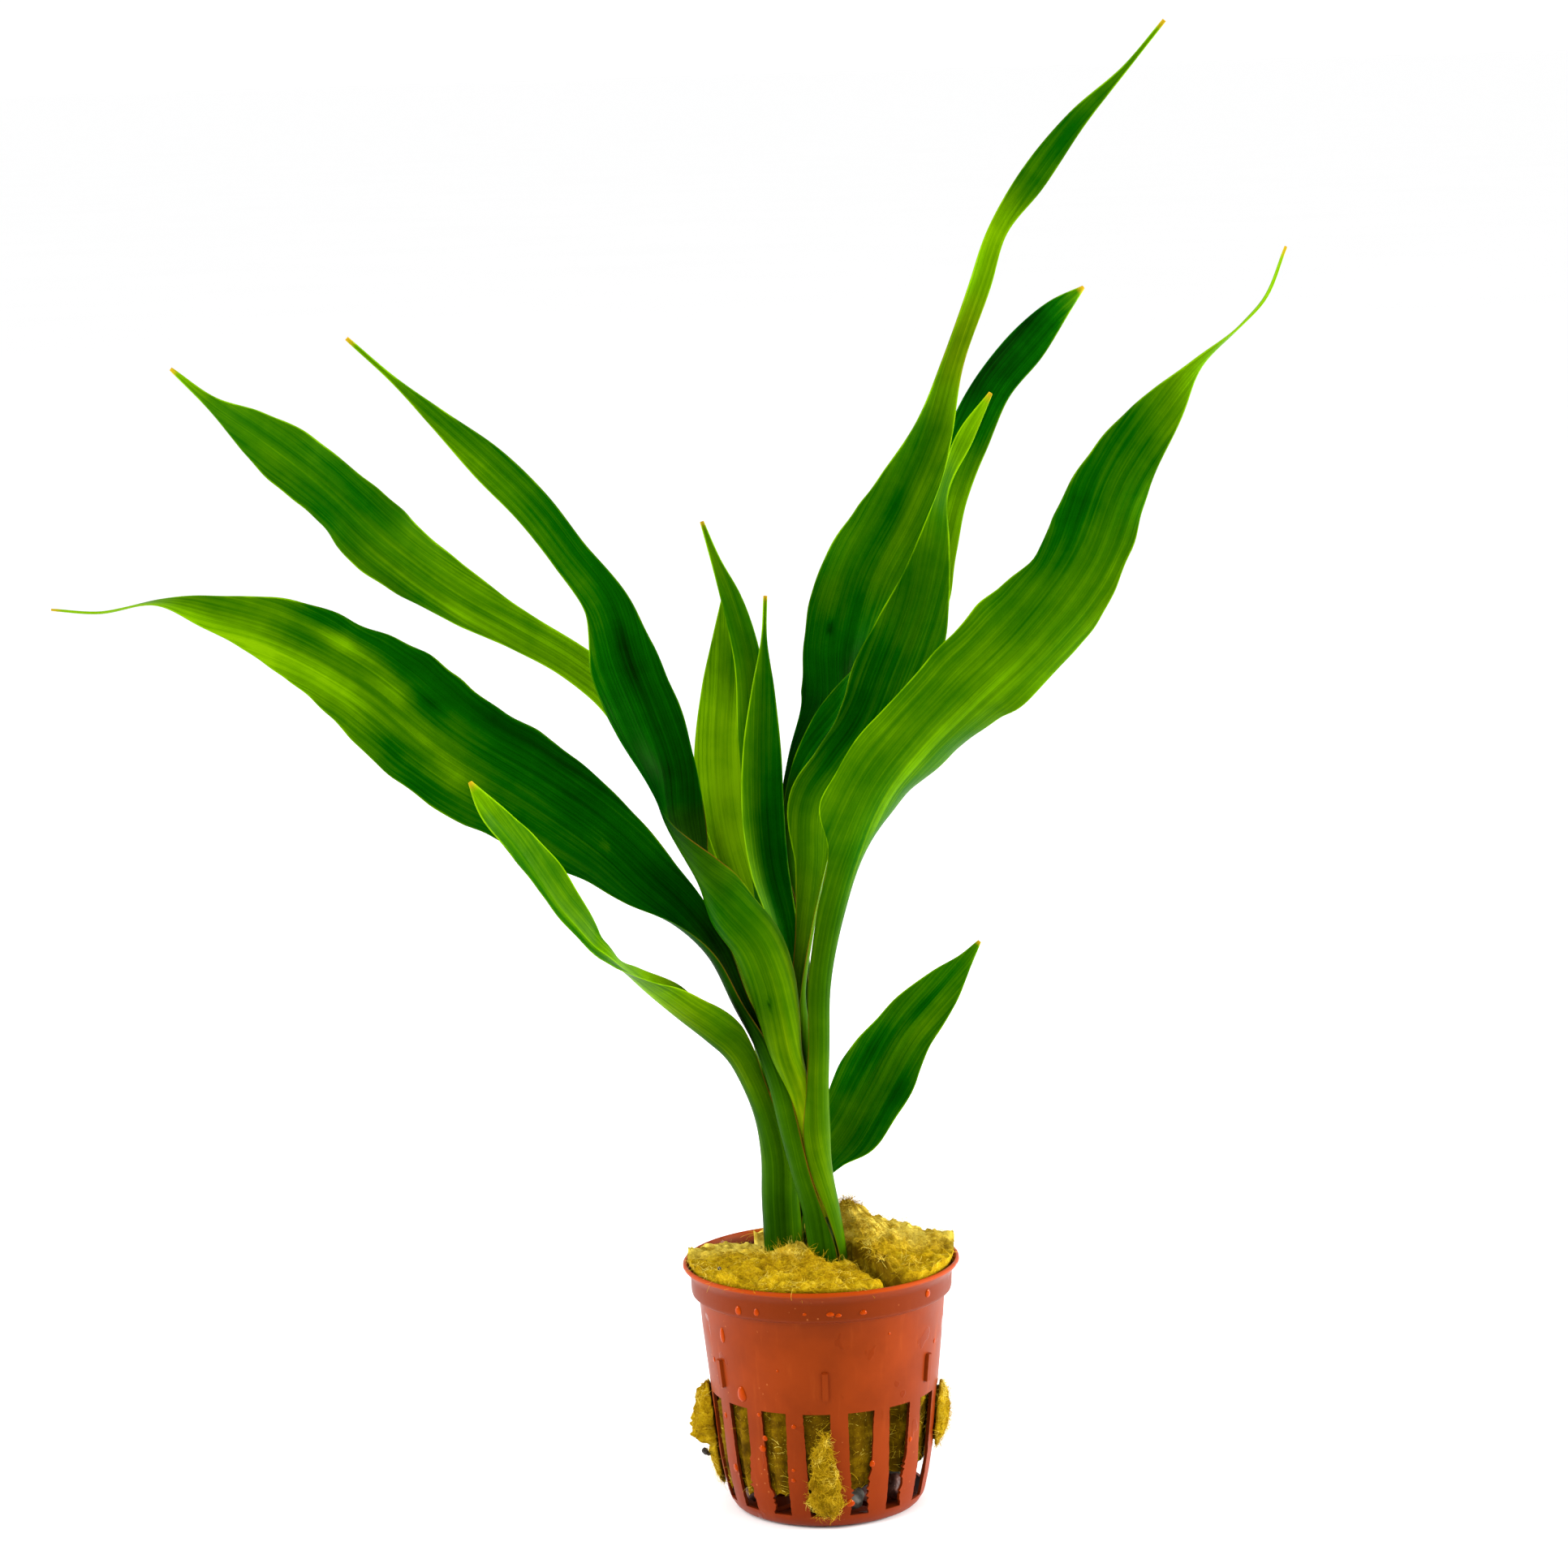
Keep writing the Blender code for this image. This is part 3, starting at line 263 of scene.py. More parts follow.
# Black crumbs: angle, height, distance from the middle and size.
GRIT = [(181.0, 10.9, 24.6, 0.72), (180.0, 10.2, 24.0, 0.4), (214.0, 52.6, 24.5, 0.35)]
GRIT_DENTS = (0.5, 1.7)

# Angle in degrees from which an edge is drawn sharp: on turned plastic, small parts and soft things.
PLASTIC_EDGE = 35.0
SMALL_EDGE = 40.0
SOFT_EDGE = 70.0

# Studio
FLOOR_SIZE = 400.0
FLOOR_DROP = 0.0003
SURROUND_STRENGTH = 1.06
# Lights: name, place, target, size and power.
LIGHTS = [("key", (-0.7, -0.95, 1.2), (0.0, 0.0, 0.16), 0.5, 8.5),
          ("left side", (-1.15, 0.0, 0.35), (0.0, 0.0, 0.06), 0.5, 15.0),
          ("right side", (1.1, 0.0, 0.3), (0.0, 0.0, 0.05), 0.5, 26.0)]


def curl(x, y, height, side, radius, wrap):
    """Row of a leaf where its section is an arc round x, y; side is the way its midrib looks."""
    angle = math.radians(side)
    return (x + radius * math.cos(angle), y + radius * math.sin(angle), height,
            radius * math.radians(wrap), side - 90.0, wrap, 0)


def shoot_place(shoot, height):
    """Middle x and y of a shoot in mm at a height in mm."""
    x, y, heights = zip(*SHOOTS[shoot])
    return float(np.interp(height, heights, x)), float(np.interp(height, heights, y))


def sheath(shoot, height, side, radius, wrap):
    """Row of a leaf where it wraps the middle line of its shoot."""
    return curl(*shoot_place(shoot, height), height, side, radius, wrap)


# Each row of a leaf, from base to tip: x, y and z of the midrib, width over the curve, roll,
# channel and fold. Roll 0 turns the upper face to the front, channel is how far the section
# curls from edge to edge, and fold is what the half on the right curls more than the left one.
# Lengths are in mm and angles in degrees.
LEAVES = {
    "leaf_far_left": [
        sheath("right", 44, 182, 3.55, 235), sheath("right", 53, 182, 3.55, 235),
        sheath("right", 62, 181, 3.55, 186), curl(-1.5, -4.0, 69, 180, 3.65, 176),
        curl(-3.9, -4.1, 77, 180, 3.15, 200), curl(-6.5, -4.3, 88, 180, 2.9, 205),
        (-12.0, -4.2, 96, 9.0, 88, 170, 0), (-15.5, -3.9, 103.4, 8.8, 82, 142, 0),
        (-20.6, -2.6, 114.6, 10.6, 70, 130, 0), (-26.3, -1.0, 121.6, 13.0, 53, 114, 0),
        (-32.8, 0.6, 127.5, 15.8, 36, 92, 0), (-40.4, 2, 135, 18.8, 26, 62, 0),
        (-53.4, 4, 144.8, 22.8, 14, 42, 0), (-70.5, 5, 156, 23.8, 10, 28, 0),
        (-89, 6, 171.5, 20.6, 8, 22, 0), (-106, 6, 181, 12.8, 6, 16, 0),
        (-117, 5, 184.5, 7.2, 14, 14, 0), (-127.5, 4, 187, 4.0, 78, 8, 0),
        (-139.5, 3, 185.5, 1.8, 105, 5, 0), (-148.5, 2, 186.5, 0.8, 110, 5, 0)],
    "leaf_right": [
        sheath("right", 44, 362, 3.55, 105), sheath("right", 53, 362, 3.55, 105),
        sheath("right", 62, 353, 3.55, 130), sheath("right", 69, 339, 3.5, 150),
        curl(-0.9, -4.3, 77, 314, 3.3, 160), curl(-0.5, -5.8, 86.5, 312, 2.8, 150),
        curl(0.1, -7.0, 96, 312, 2.6, 150), curl(0.5, -8.2, 108, 310, 2.75, 148),
        (4.8, -13, 122.5, 8.2, 214, 138, 0), (9.0, -17, 136.5, 12.0, 216, 116, 0),
        (11.4, -19.3, 143, 20.6, 216, 96, 0),
        (14.4, -21.5, 149, 20.6, 214, 80, 0), (21.6, -25, 158.5, 21.0, 208, 58, 0),
        (31, -29, 168.5, 20.2, 200, 42, 0), (42.6, -32, 180, 21.8, 192, 32, 0),
        (53.5, -35, 194.5, 17.2, 184, 24, 0), (60, -38, 210.5, 13.6, 183, 20, 0),
        (69, -41, 224, 7.8, 184, 14, 0), (74.5, -43.4, 231.2, 3.0, 215, 10, 0),
        (82.5, -47, 238.5, 2.0, 265, 5, 0), (86.5, -49, 243, 1.5, 280, 5, 0),
        (90.5, -52, 253, 0.8, 285, 5, 0)],
    "leaf_upper_left_front": [
        sheath("right", 60.5, 262, 2.62, 130), sheath("right", 69, 263, 2.62, 156),
        curl(-1.9, -4.0, 77, 266, 2.4, 172), curl(-3.1, -5.8, 86, 260, 2.35, 166),
        (-6.0, -10.6, 94.5, 8.6, 172, 146, 0), (-7.4, -11.7, 102.5, 11.0, 172, 138, 0),
        (-9.0, -12.4, 110.6, 12.6, 172, 132, 0), (-11.6, -13.2, 117.5, 13.2, 168, 125, 0),
        (-16.7, -13.8, 124, 13.6, 156, 120, 0), (-22.6, -14.2, 132.5, 16.0, 106, 138, 0),
        (-27.2, -14.4, 142.8, 16.0, 62, 130, 0), (-28.4, -15, 154, 13.6, 34, 80, 0),
        (-31.5, -16, 164.5, 14.2, 16, 48, 0), (-35, -18, 175, 13.2, 8, 34, 0),
        (-38, -20, 187, 9.0, 6, 22, 0), (-44.5, -23, 197, 7.4, 4, 18, 0),
        (-51, -26, 206.5, 7.5, 4, 18, 0), (-59, -29, 215.5, 7.2, 2, 16, 0),
        (-68, -32, 224.5, 3.9, 2, 12, 0), (-75.5, -35, 232, 1.4, 4, 8, 0),
        (-84, -38, 240.5, 0.8, 4, 5, 0)],
    "leaf_slim_right_shoot": [
        sheath("right", 62, 84, 2.62, 180), sheath("right", 72, 97, 2.45, 150),
        sheath("right", 78, 120, 2.35, 120), curl(-2.4, -2.9, 84, 140, 2.3, 104),
        curl(-3.5, -1.5, 92, 144, 2.2, 112),
        (-5.0, 1.2, 105, 6.0, 38, 130, 0), (-5.9, 1.6, 118, 6.6, 22, 110, 0),
        (-8.4, 1.4, 131, 8.8, 10, 85, 0), (-9.1, 1.2, 142, 9.2, 4, 70, 0),
        (-8.8, 1.2, 155, 8.0, 2, 58, 0), (-8.2, 1.0, 166.5, 4.8, 0, 50, 0),
        (-7.7, 0.0, 177, 1.2, 0, 30, 0), (-7.2, -1.8, 185.5, 0.8, 0, 10, 0)],
    "leaf_tallest": [
        curl(-2.0, -2.6, 86.5, 62, 0.65, 176), curl(-1.9, -1.5, 90, 60, 0.9, 168),
        curl(-1.5, 0.6, 96, 50, 1.2, 160), (-1.0, 3.8, 107, 5.0, -50, 160, 0),
        (-1.5, 5.6, 122, 7.4, -66, 165, 25), (-2.0, 5.8, 137, 11.5, -78, 150, 80),
        (1.4, 6.8, 150, 15.0, -72, 112, 150), (7.6, 7.6, 162, 19.6, -50, 80, 235),
        (8.8, 8.2, 174, 17.6, -22, 56, 90), (12.2, 9, 186.5, 18.6, -6, 44, 10),
        (20.4, 11, 201.5, 14.8, 0, 56, 0), (27, 12, 216, 8.6, 4, 84, 0),
        (31, 12, 229, 5.6, 6, 130, 0), (36.9, 11, 245, 5.2, 12, 110, 0),
        (40.6, 10, 255, 4.0, 4, 50, 0), (47.4, 6, 265, 5.6, 0, 22, 0), (56, 0, 276.5, 4.0, 0, 18, 0),
        (65.5, -6, 286.5, 1.2, 0, 10, 0), (72.5, -10, 295, 0.8, 0, 5, 0)],
    "leaf_behind_right": [
        sheath("right", 73, 84, 1.38, 118), sheath("right", 79, 78, 1.34, 114),
        curl(-2.0, -2.85, 84, 68, 1.32, 112), curl(-1.4, -0.6, 90, 54, 1.3, 120),
        curl(-2.1, 2.9, 96, 52, 1.4, 130),
        (-2.4, 6.8, 106, 4.4, -25, 135, 0), (-1.4, 9.8, 119, 5.4, -18, 120, 0),
        (5.2, 13.6, 136, 7.0, -12, 95, 0), (12.5, 17.8, 152, 9.2, -8, 72, 0),
        (18.5, 22, 167, 10.8, -4, 54, 0), (24, 26.5, 180, 11.4, 0, 44, 0),
        (27.2, 31, 191, 9.8, 2, 36, 0), (30.2, 35, 201, 9.4, 3, 32, 0),
        (35.2, 41, 212, 9.2, 3, 28, 0), (41, 47, 222, 8.2, 2, 24, 0), (48.5, 52.5, 230, 8.2, 0, 20, 0),
        (55, 57, 236.5, 5.2, 0, 14, 0), (61, 62, 241, 0.8, 0, 5, 0)],
    "leaf_middle_right": [
        sheath("right", 73, -72, 1.38, 118), sheath("right", 79, -70, 1.38, 116),
        sheath("right", 84, -66, 1.4, 116), curl(-2.05, -3.2, 90, -54, 1.5, 134),
        curl(-2.4, -3.1, 96, -34, 1.6, 148), (-1.9, -3.0, 107, 5.0, -66, 150, 0),
        (-0.4, -3.2, 118, 6.4, -54, 140, 0), (1.4, -3.8, 131, 9.2, -42, 120, 0),
        (3.0, -5.0, 145, 13.6, -28, 84, 0), (7.2, -6.0, 151, 13.4, -24, 74, 0),
        (12.4, -7.0, 158, 14.6, -18, 60, 0),
        (18.0, -8.0, 170.5, 15.8, -12, 46, 0), (23.2, -8.4, 184, 11.8, -8, 38, 0),
        (26, -9, 195.5, 6.6, -12, 34, 0), (28.4, -10, 206.5, 3.0, -52, 24, 0),
        (32.5, -12, 216.5, 3.5, -18, 16, 0), (37.5, -14, 225, 0.8, -10, 5, 0)],
    "leaf_lower_left": [
        sheath("left", 44, 222, 4.2, 226), sheath("left", 53, 222, 4.0, 226),
        sheath("left", 62, 222, 3.85, 222), curl(-7.5, 5.1, 71, 220, 3.75, 190),
        (-11.9, 1.8, 79.5, 9.6, 120, 150, 0), (-14.8, -0.5, 87.6, 10.0, 118, 146, 0),
        (-17.3, -4.0, 92.9, 12.0, 118, 140, 0), (-21.3, -8.6, 97.9, 15.5, 116, 132, 0),
        (-27.1, -13.6, 104.0, 15.5, 106, 128, 0), (-32.8, -18.6, 110.3, 13.0, 100, 105, -45),
        (-37.1, -22.8, 115.5, 7.8, 92, 50, -30), (-39.7, -25.0, 118.4, 7.0, 78, 30, 0),
        (-42.2, -27.0, 120.8, 7.4, 68, 48, 0), (-45.6, -29.0, 125.3, 9.4, 63, 68, 0),
        (-48.9, -31.0, 129.9, 10.8, 61, 74, 0), (-51.6, -33.0, 134.7, 11.2, 60, 74, 0),
        (-53.4, -35.0, 138.2, 10.2, 58, 70, 0), (-55.5, -37.0, 142.1, 8.8, 54, 60, 0),
        (-57.9, -40.0, 146.3, 6.8, 48, 54, 0), (-60.5, -43.0, 150.8, 4.8, 30, 40, 0),
        (-63.7, -46.0, 157.0, 0.8, 0, 5, 0)],
    "leaf_small_right": [
        sheath("left", 44, 41, 4.2, 120), sheath("left", 52, 41, 4.0, 120),
        sheath("left", 57.5, 38, 4.05, 122),
        (-2.6, 9.2, 62, 8.0, -50, 126, 0), (1.6, 13.8, 66.6, 10.0, -38, 102, 0),
        (6.0, 18.0, 71, 14.2, -22, 74, 0), (11.5, 22, 79.5, 16.2, -14, 54, 0),
        (18, 26, 90, 13.0, -8, 40, 0), (27.5, 30, 100, 7.8, -6, 28, 0),
        (32.0, 32.5, 104.5, 3.2, -4, 16, 0), (35, 34, 108, 0.8, 0, 5, 0)],
    "leaf_upper_left_back": [
        sheath("left", 61, 160, 2.62, 170), sheath("left", 72, 163, 2.5, 158),
        sheath("left", 84, 168, 2.45, 148), curl(-10.2, 6.6, 97, 168, 2.6, 145),
        curl(-13.4, 8.0, 109, 155, 3.0, 135), (-19.6, 11.0, 122, 7.4, 48, 120, 0),
        (-24.4, 12.6, 136, 8.0, 34, 104, 0), (-31.0, 14.2, 151, 8.4, 26, 80, 0),
        (-39.6, 16.2, 165.5, 8.4, 16, 60, 0), (-46.5, 18, 171, 7.6, 8, 46, 0),
        (-57, 22, 177, 8.2, 6, 36, 0), (-70.5, 28, 184.5, 11.8, 4, 28, 0),
        (-84, 35, 194, 14.4, 4, 24, 0), (-97.5, 43, 206, 12.9, 3, 20, 0),
        (-112, 51, 216.5, 9.4, 2, 18, 0), (-121.5, 57, 222.5, 3.0, 0, 14, 0),
        (-130.5, 63, 229.5, 0.8, 0, 5, 0)],
    "leaf_light_behind": [
        sheath("left", 73, 60, 1.5, 150), curl(-7.8, 5.3, 84, 64, 1.5, 146),
        curl(-7.2, 7.6, 96, 74, 1.75, 146), (-8.8, 12.6, 108, 6.4, -6, 125, 0),
        (-12.6, 15.4, 121, 9.0, 0, 92, 0), (-16.2, 18.8, 134, 11.2, 2, 64, 0),
        (-17.6, 22.6, 149, 10.8, 2, 46, 0), (-16.7, 27, 163, 8.6, 2, 36, 0),
        (-16, 31, 172.5, 5.2, 0, 22, 0), (-15.4, 36, 183, 0.8, 0, 5, 0)],
    "leaf_slim_left_shoot": [
        sheath("left", 73, 250, 1.5, 145), sheath("left", 84, 252, 1.5, 145),
        (-8.4, 3.6, 96, 4.4, 168, 145, 0), (-8.2, 5.6, 110, 4.8, 172, 125, 0),
        (-8.9, 8.4, 125, 5.8, 176, 100, 0), (-9.8, 9.8, 141, 6.4, 180, 76, 0),
        (-10.4, 10.2, 155, 6.6, 182, 60, 0), (-11.2, 9.8, 172, 5.6, 184, 46, 0),
        (-14, 10.6, 183.5, 4.3, 186, 34, 0), (-17, 12.2, 191.5, 2.0, 188, 20, 0),
        (-19.5, 14, 199, 0.8, 190, 5, 0)],
}

# Leaf blades as drawn: step along, strips across, thickness at the midrib and at the margin.
LEAF_STEP = 1.1
LEAF_ACROSS = 26
MIDRIB_THICKNESS = 0.50
MARGIN_THICKNESS = 0.14
THICKNESS_POWER = 3
# What a fully channelled petiole is thicker, and the channel in radians at which it is.
PETIOLE_EXTRA = 0.10
PETIOLE_FULL_CHANNEL = 2.4
TIP_WIDTH = 0.3
# Fine steps over each strip when a section is bent.
SECTION_STEPS = 8
# The margins of an open blade wave, in a different beat on each side, with a finer ripple on top.
WAVE_HEIGHT = 1.1
WAVE_LENGTH = 31.0
WAVE_BEAT_STEP = 1.3
WAVE_SIDE_STEP = 1.9
WAVE_EDGE_POWER = 2.5
RIPPLE_HEIGHT = 0.28
RIPPLE_LENGTH = 12.5
RIPPLE_BEAT = 2.3
# A blade is open where it is wider than this and its channel in radians is slight.
WAVE_LEAST_WIDTH = 8.0
OPEN_LIMIT = 1.4
OPEN_CHANNEL = 1.2
# The margins also wander in and out: height, length and seed of the slow and the quick wobble.
WOBBLES = [(1.5, 16.0, 0.0), (0.7, 6.5, 7.0)]
WOBBLE_SIDE_STEP = 40.0
WOBBLE_EDGE_POWER = 3.0
# Shares of the length that show as sheath and as dry tip, and channels in radians of a petiole.
SHEATH_SHARES = (0.2, 0.12)
TIP_SHARES = (0.990, 0.998)
PETIOLE_CHANNELS = (2.0, 2.5)
TEXTURE_STEP = 37.0
# Leaves with a sharp keel: shares of the length where it starts and is full, and how sharp it is.
KEELS = {"leaf_lower_left": (0.25, 0.4, 0.65), "leaf_upper_left_front": (0.3, 0.45, 0.4),
         "leaf_slim_right_shoot": (0.4, 0.6, 0.5), "leaf_right": (0.3, 0.45, 0.25)}
# Fine pleats across a blade: height and width in mm.
PLEAT_HEIGHT = 0.09
PLEAT_WIDTH = 3.4

# How light each leaf's green is along its length, its own tone together with painted light and shade,
# as pairs of a share of the length and a tone from 0 (darkest) to 1 (yellow-green), and how much lighter
# the side on the right is, painted light and shade on halves turned towards and away from the light.
LEAF_TONES_WITH_PAINTED_LIGHT = {
    "leaf_far_left": ([(0, 0.18), (0.1, 0.24), (0.17, 0.27), (0.24, 0.06), (0.32, 0.12), (0.42, 0.28),
                       (0.52, 0.38), (0.62, 0.46), (0.72, 0.58), (0.82, 0.70), (0.9, 0.78), (1, 0.95)],
                       -0.04),
    "leaf_right": ([(0, 0.48), (0.1, 0.50), (0.22, 0.39), (0.34, 0.40), (0.4, 0.47), (0.48, 0.57),
                    (0.58, 0.6), (0.68, 0.52), (0.8, 0.44), (0.87, 0.7), (1, 0.9)], 0.0),
    "leaf_upper_left_front": ([(0, 0.80), (0.07, 0.86), (0.11, 0.74), (0.17, 0.50), (0.28, 0.44),
                               (0.4, 0.22), (0.52, 0.22), (0.64, 0.35), (0.78, 0.49), (0.9, 0.57),
                               (1, 0.75)], -0.06),
    "leaf_slim_right_shoot": ([(0, 0.3), (0.3, 0.3), (0.5, 0.4), (0.8, 0.46), (1, 0.6)], -0.14),
    "leaf_tallest": ([(0, 0.2), (0.2, 0.15), (0.32, 0.17), (0.45, 0.45), (0.56, 0.57), (0.66, 0.80),
                      (0.76, 0.92), (0.82, 0.54), (0.92, 0.47), (1, 0.7)], 0.06),
    "leaf_behind_right": ([(0, 0.4), (0.35, 0.5), (0.55, 0.76), (0.7, 0.74), (0.78, 0.36), (0.86, 0.12),
                           (0.94, 0.2), (1, 0.7)], 0.1),
    "leaf_middle_right": ([(0, 0.3), (0.2, 0.46), (0.42, 0.7), (0.5, 0.48), (0.62, 0.4), (0.78, 0.54),
                           (0.88, 0.64), (0.96, 0.8), (1, 0.98)], 0.04),
    "leaf_lower_left": ([(0, 0.31), (0.16, 0.33), (0.3, 0.39), (0.42, 0.51), (0.55, 0.86), (0.64, 0.72),
                         (0.8, 0.56), (0.94, 0.6), (1, 0.8)], 0.04),
    "leaf_small_right": ([(0, 0.1), (0.14, 0.16), (0.3, 0.4), (0.5, 0.44), (0.7, 0.41), (0.92, 0.50),
                          (1, 0.75)], 0.0),
    "leaf_upper_left_back": ([(0, 0.5), (0.3, 0.64), (0.48, 0.74), (0.6, 0.69), (0.72, 0.58),
                              (0.84, 0.45), (0.94, 0.57), (1, 0.9)], 0.05),
    "leaf_light_behind": ([(0, 0.6), (0.3, 0.86), (0.55, 0.92), (0.75, 0.92), (0.9, 0.7), (1, 0.75)],
                           0.04),
    "leaf_slim_left_shoot": ([(0, 0.4), (0.5, 0.50), (0.8, 0.46), (1, 0.58)], 0.0),
}
# Soft lighter and darker places, painted sheen, highlights and shade laid on the blade's own mottling: share
# along the leaf, place across from -1 to 1, reach along and across, and how much lighter.
LEAF_MOTTLE_SHEEN_AND_SHADE = {
    "leaf_far_left": [(0.60, -0.40, 0.022, 0.22, 0.30), (0.64, -0.15, 0.025, 0.20, 0.24),
                      (0.69, 0.12, 0.022, 0.16, 0.26), (0.745, 0.42, 0.024, 0.22, 0.36),
                      (0.73, -0.45, 0.045, 0.30, 0.26), (0.82, -0.75, 0.06, 0.40, 0.22),
                      (0.66, -0.62, 0.018, 0.14, -0.24), (0.62, -0.85, 0.03, 0.20, -0.20),
                      (0.70, 0.80, 0.10, 0.30, -0.24), (0.55, 0.70, 0.10, 0.35, -0.14),
                      (0.66, 0.35, 0.020, 0.10, -0.20), (0.78, 0.10, 0.020, 0.30, -0.14),
                      (0.47, -0.6, 0.05, 0.4, 0.08), (0.455, 0.05, 0.004, 0.05, 0.3)],
    "leaf_right": [(0.44, 0.75, 0.06, 0.35, 0.08), (0.44, -0.25, 0.06, 0.16, 0.22),
                   (0.52, -0.12, 0.07, 0.14, 0.18), (0.62, -0.8, 0.12, 0.3, 0.08),
                   (0.72, 0.7, 0.1, 0.4, -0.12), (0.36, -0.8, 0.05, 0.4, 0.2)],
    "leaf_upper_left_front": [(0.222, 0.15, 0.004, 0.05, -0.4), (0.228, 0.05, 0.006, 0.03, -0.3),
                              (0.30, 0.6, 0.05, 0.5, 0.10), (0.24, -0.7, 0.08, 0.4, 0.12),
                              (0.45, -0.8, 0.06, 0.3, -0.14), (0.6, 0.1, 0.04, 0.25, -0.2)],
    "leaf_tallest": [(0.40, -0.45, 0.006, 0.08, -0.3), (0.42, -0.7, 0.06, 0.35, 0.12),
                     (0.5, 0.35, 0.06, 0.2, 0.14), (0.38, 0.1, 0.05, 0.4, -0.14),
                     (0.52, -0.15, 0.05, 0.14, -0.12), (0.87, 0.5, 0.05, 0.5, -0.1)],
    "leaf_middle_right": [(0.62, 0.5, 0.08, 0.3, 0.12), (0.5, -0.5, 0.08, 0.3, -0.14),
                          (0.56, 0.1, 0.05, 0.2, -0.1)],
    "leaf_lower_left": [(0.04, 0.55, 0.12, 0.5, -0.2), (0.04, -0.8, 0.16, 0.3, 0.16),
                        (0.33, -0.3, 0.05, 0.4, 0.1), (0.42, 0.8, 0.06, 0.5, -0.5),
                        (0.37, 0.8, 0.05, 0.5, -0.5), (0.66, 0.0, 0.12, 0.12, 0.3),
                        (0.72, -0.6, 0.12, 0.4, -0.2)],
    "leaf_small_right": [(0.78, -0.1, 0.08, 0.2, -0.2), (0.62, -0.5, 0.06, 0.25, -0.18),
                         (0.6, 0.1, 0.12, 0.2, 0.12), (0.74, 0.5, 0.1, 0.25, 0.1),
                         (0.55, 0.7, 0.06, 0.2, -0.12)],
    "leaf_upper_left_back": [(0.62, -0.4, 0.05, 0.3, 0.14), (0.75, 0.5, 0.06, 0.4, -0.12),
                             (0.86, -0.4, 0.04, 0.4, 0.12), (0.55, 0.5, 0.06, 0.3, -0.1)],
    "leaf_light_behind": [(0.45, -0.6, 0.1, 0.4, -0.12), (0.85, 0.4, 0.06, 0.5, -0.2)],
    "leaf_slim_right_shoot": [(0.5, -0.7, 0.14, 0.4, 0.12), (0.62, 0.3, 0.1, 0.4, -0.12)],
}
# All colours are linear. Greens for the tones of a blade and of a petiole or sheath:
GREENS = [(0.0, (0.0, 0.008, 0.0)), (0.2, (0.0, 0.030, 0.0)), (0.38, (0.001, 0.058, 0.0)),
          (0.48, (0.011, 0.078, 0.0)), (0.6, (0.026, 0.106, 0.0)), (0.7, (0.048, 0.140, 0.0)),
          (0.85, (0.090, 0.225, 0.0)), (1.0, (0.155, 0.320, 0.0006))]
PETIOLE_GREENS = [(0.0, (0.001, 0.010, 0.0)), (0.2, (0.006, 0.034, 0.0)), (0.4, (0.018, 0.068, 0.0)),
                  (0.55, (0.036, 0.100, 0.0)), (0.7, (0.072, 0.150, 0.0)), (0.85, (0.135, 0.210, 0.0005)),
                  (1.0, (0.25, 0.30, 0.004))]
LEAF_SPECK = (0.30, 0.13, 0.01)
LEAF_DRY_EDGE = (0.13, 0.055, 0.004)
LEAF_DRY_TIP = (0.50, 0.24, 0.01)
# Texture of a leaf: how fine it is across and along, and how much it moves the tone.
VEINS = (1.7, 0.012, 0.56)
BANDS = (0.42, 0.02, 0.34)
CLOUDS = (70.0, 0.46)
UNDERSIDE_LIGHTER = 0.05
# Margins are lighter: partly their own paler green, partly a painted rim highlight.
MARGIN_PALE_AND_RIM_HIGHLIGHT = 0.40

# Plastic of the pot: its range, and what is laid over it.
POT_DARK = (0.160, 0.0185, 0.0012)
POT_LIGHT = (0.205, 0.0250, 0.0016)
POT_STREAK = (0.33, 0.06, 0.008)
# Painted highlight along the top of the lip.
POT_LIP_HIGHLIGHT = (0.32, 0.036, 0.0)
# Painted shade on the collar under the overhanging lip.
POT_COLLAR_SHADE = (0.128, 0.014, 0.0006)
# Painted shade, darker towards the foot.
POT_FOOT_SHADE = (0.14, 0.010, 0.0)
POT_WET = (0.125, 0.009, 0.0)
POT_DUST = (0.45, 0.14, 0.04)
# Painted shade on the pot's inner side.
POT_INNER_SHADE = (0.020, 0.003, 0.0005)
DROP_COLOURS = ((0.22, 0.016, 0.0), (0.38, 0.045, 0.0))

# Wool by how bright its fibres are: in the open, and with painted shade where it lies behind the wall.
WOOL_OPEN = [(0.36, (0.115, 0.060, 0.0)), (0.47, (0.30, 0.175, 0.0008)),
             (0.57, (0.50, 0.325, 0.004)), (0.70, (0.74, 0.55, 0.045))]
WOOL_SHADE_BEHIND_WALL = [(0.36, (0.012, 0.005, 0.0)), (0.5, (0.105, 0.056, 0.0)), (0.64, (0.24, 0.14, 0.001))]
WOOL_WET = (0.22, 0.12, 0.0)
# Painted light on the top of the back block, which faces the light.
WOOL_LIT_BACK = (0.92, 0.74, 0.13)
# Painted shade in the tear between the blocks.
WOOL_CLEFT_SHADE = (0.10, 0.052, 0.0)
# Darker low down on the outer wool towards the front.
WOOL_LOW_FRONT_DARK = (0.11, 0.055, 0.0)
# Threads of the felt: stretch, fineness and how bent they are.
WOOL_THREADS = [((0.35, 1.0, 1.0), 2300.0, 1.4), ((1.0, 0.35, 0.8), 2100.0, 1.6)]
WOOL_FIBRE = [(0.36, (0.30, 0.17, 0.0)), (0.52, (0.52, 0.34, 0.006)), (0.66, (0.80, 0.64, 0.10))]

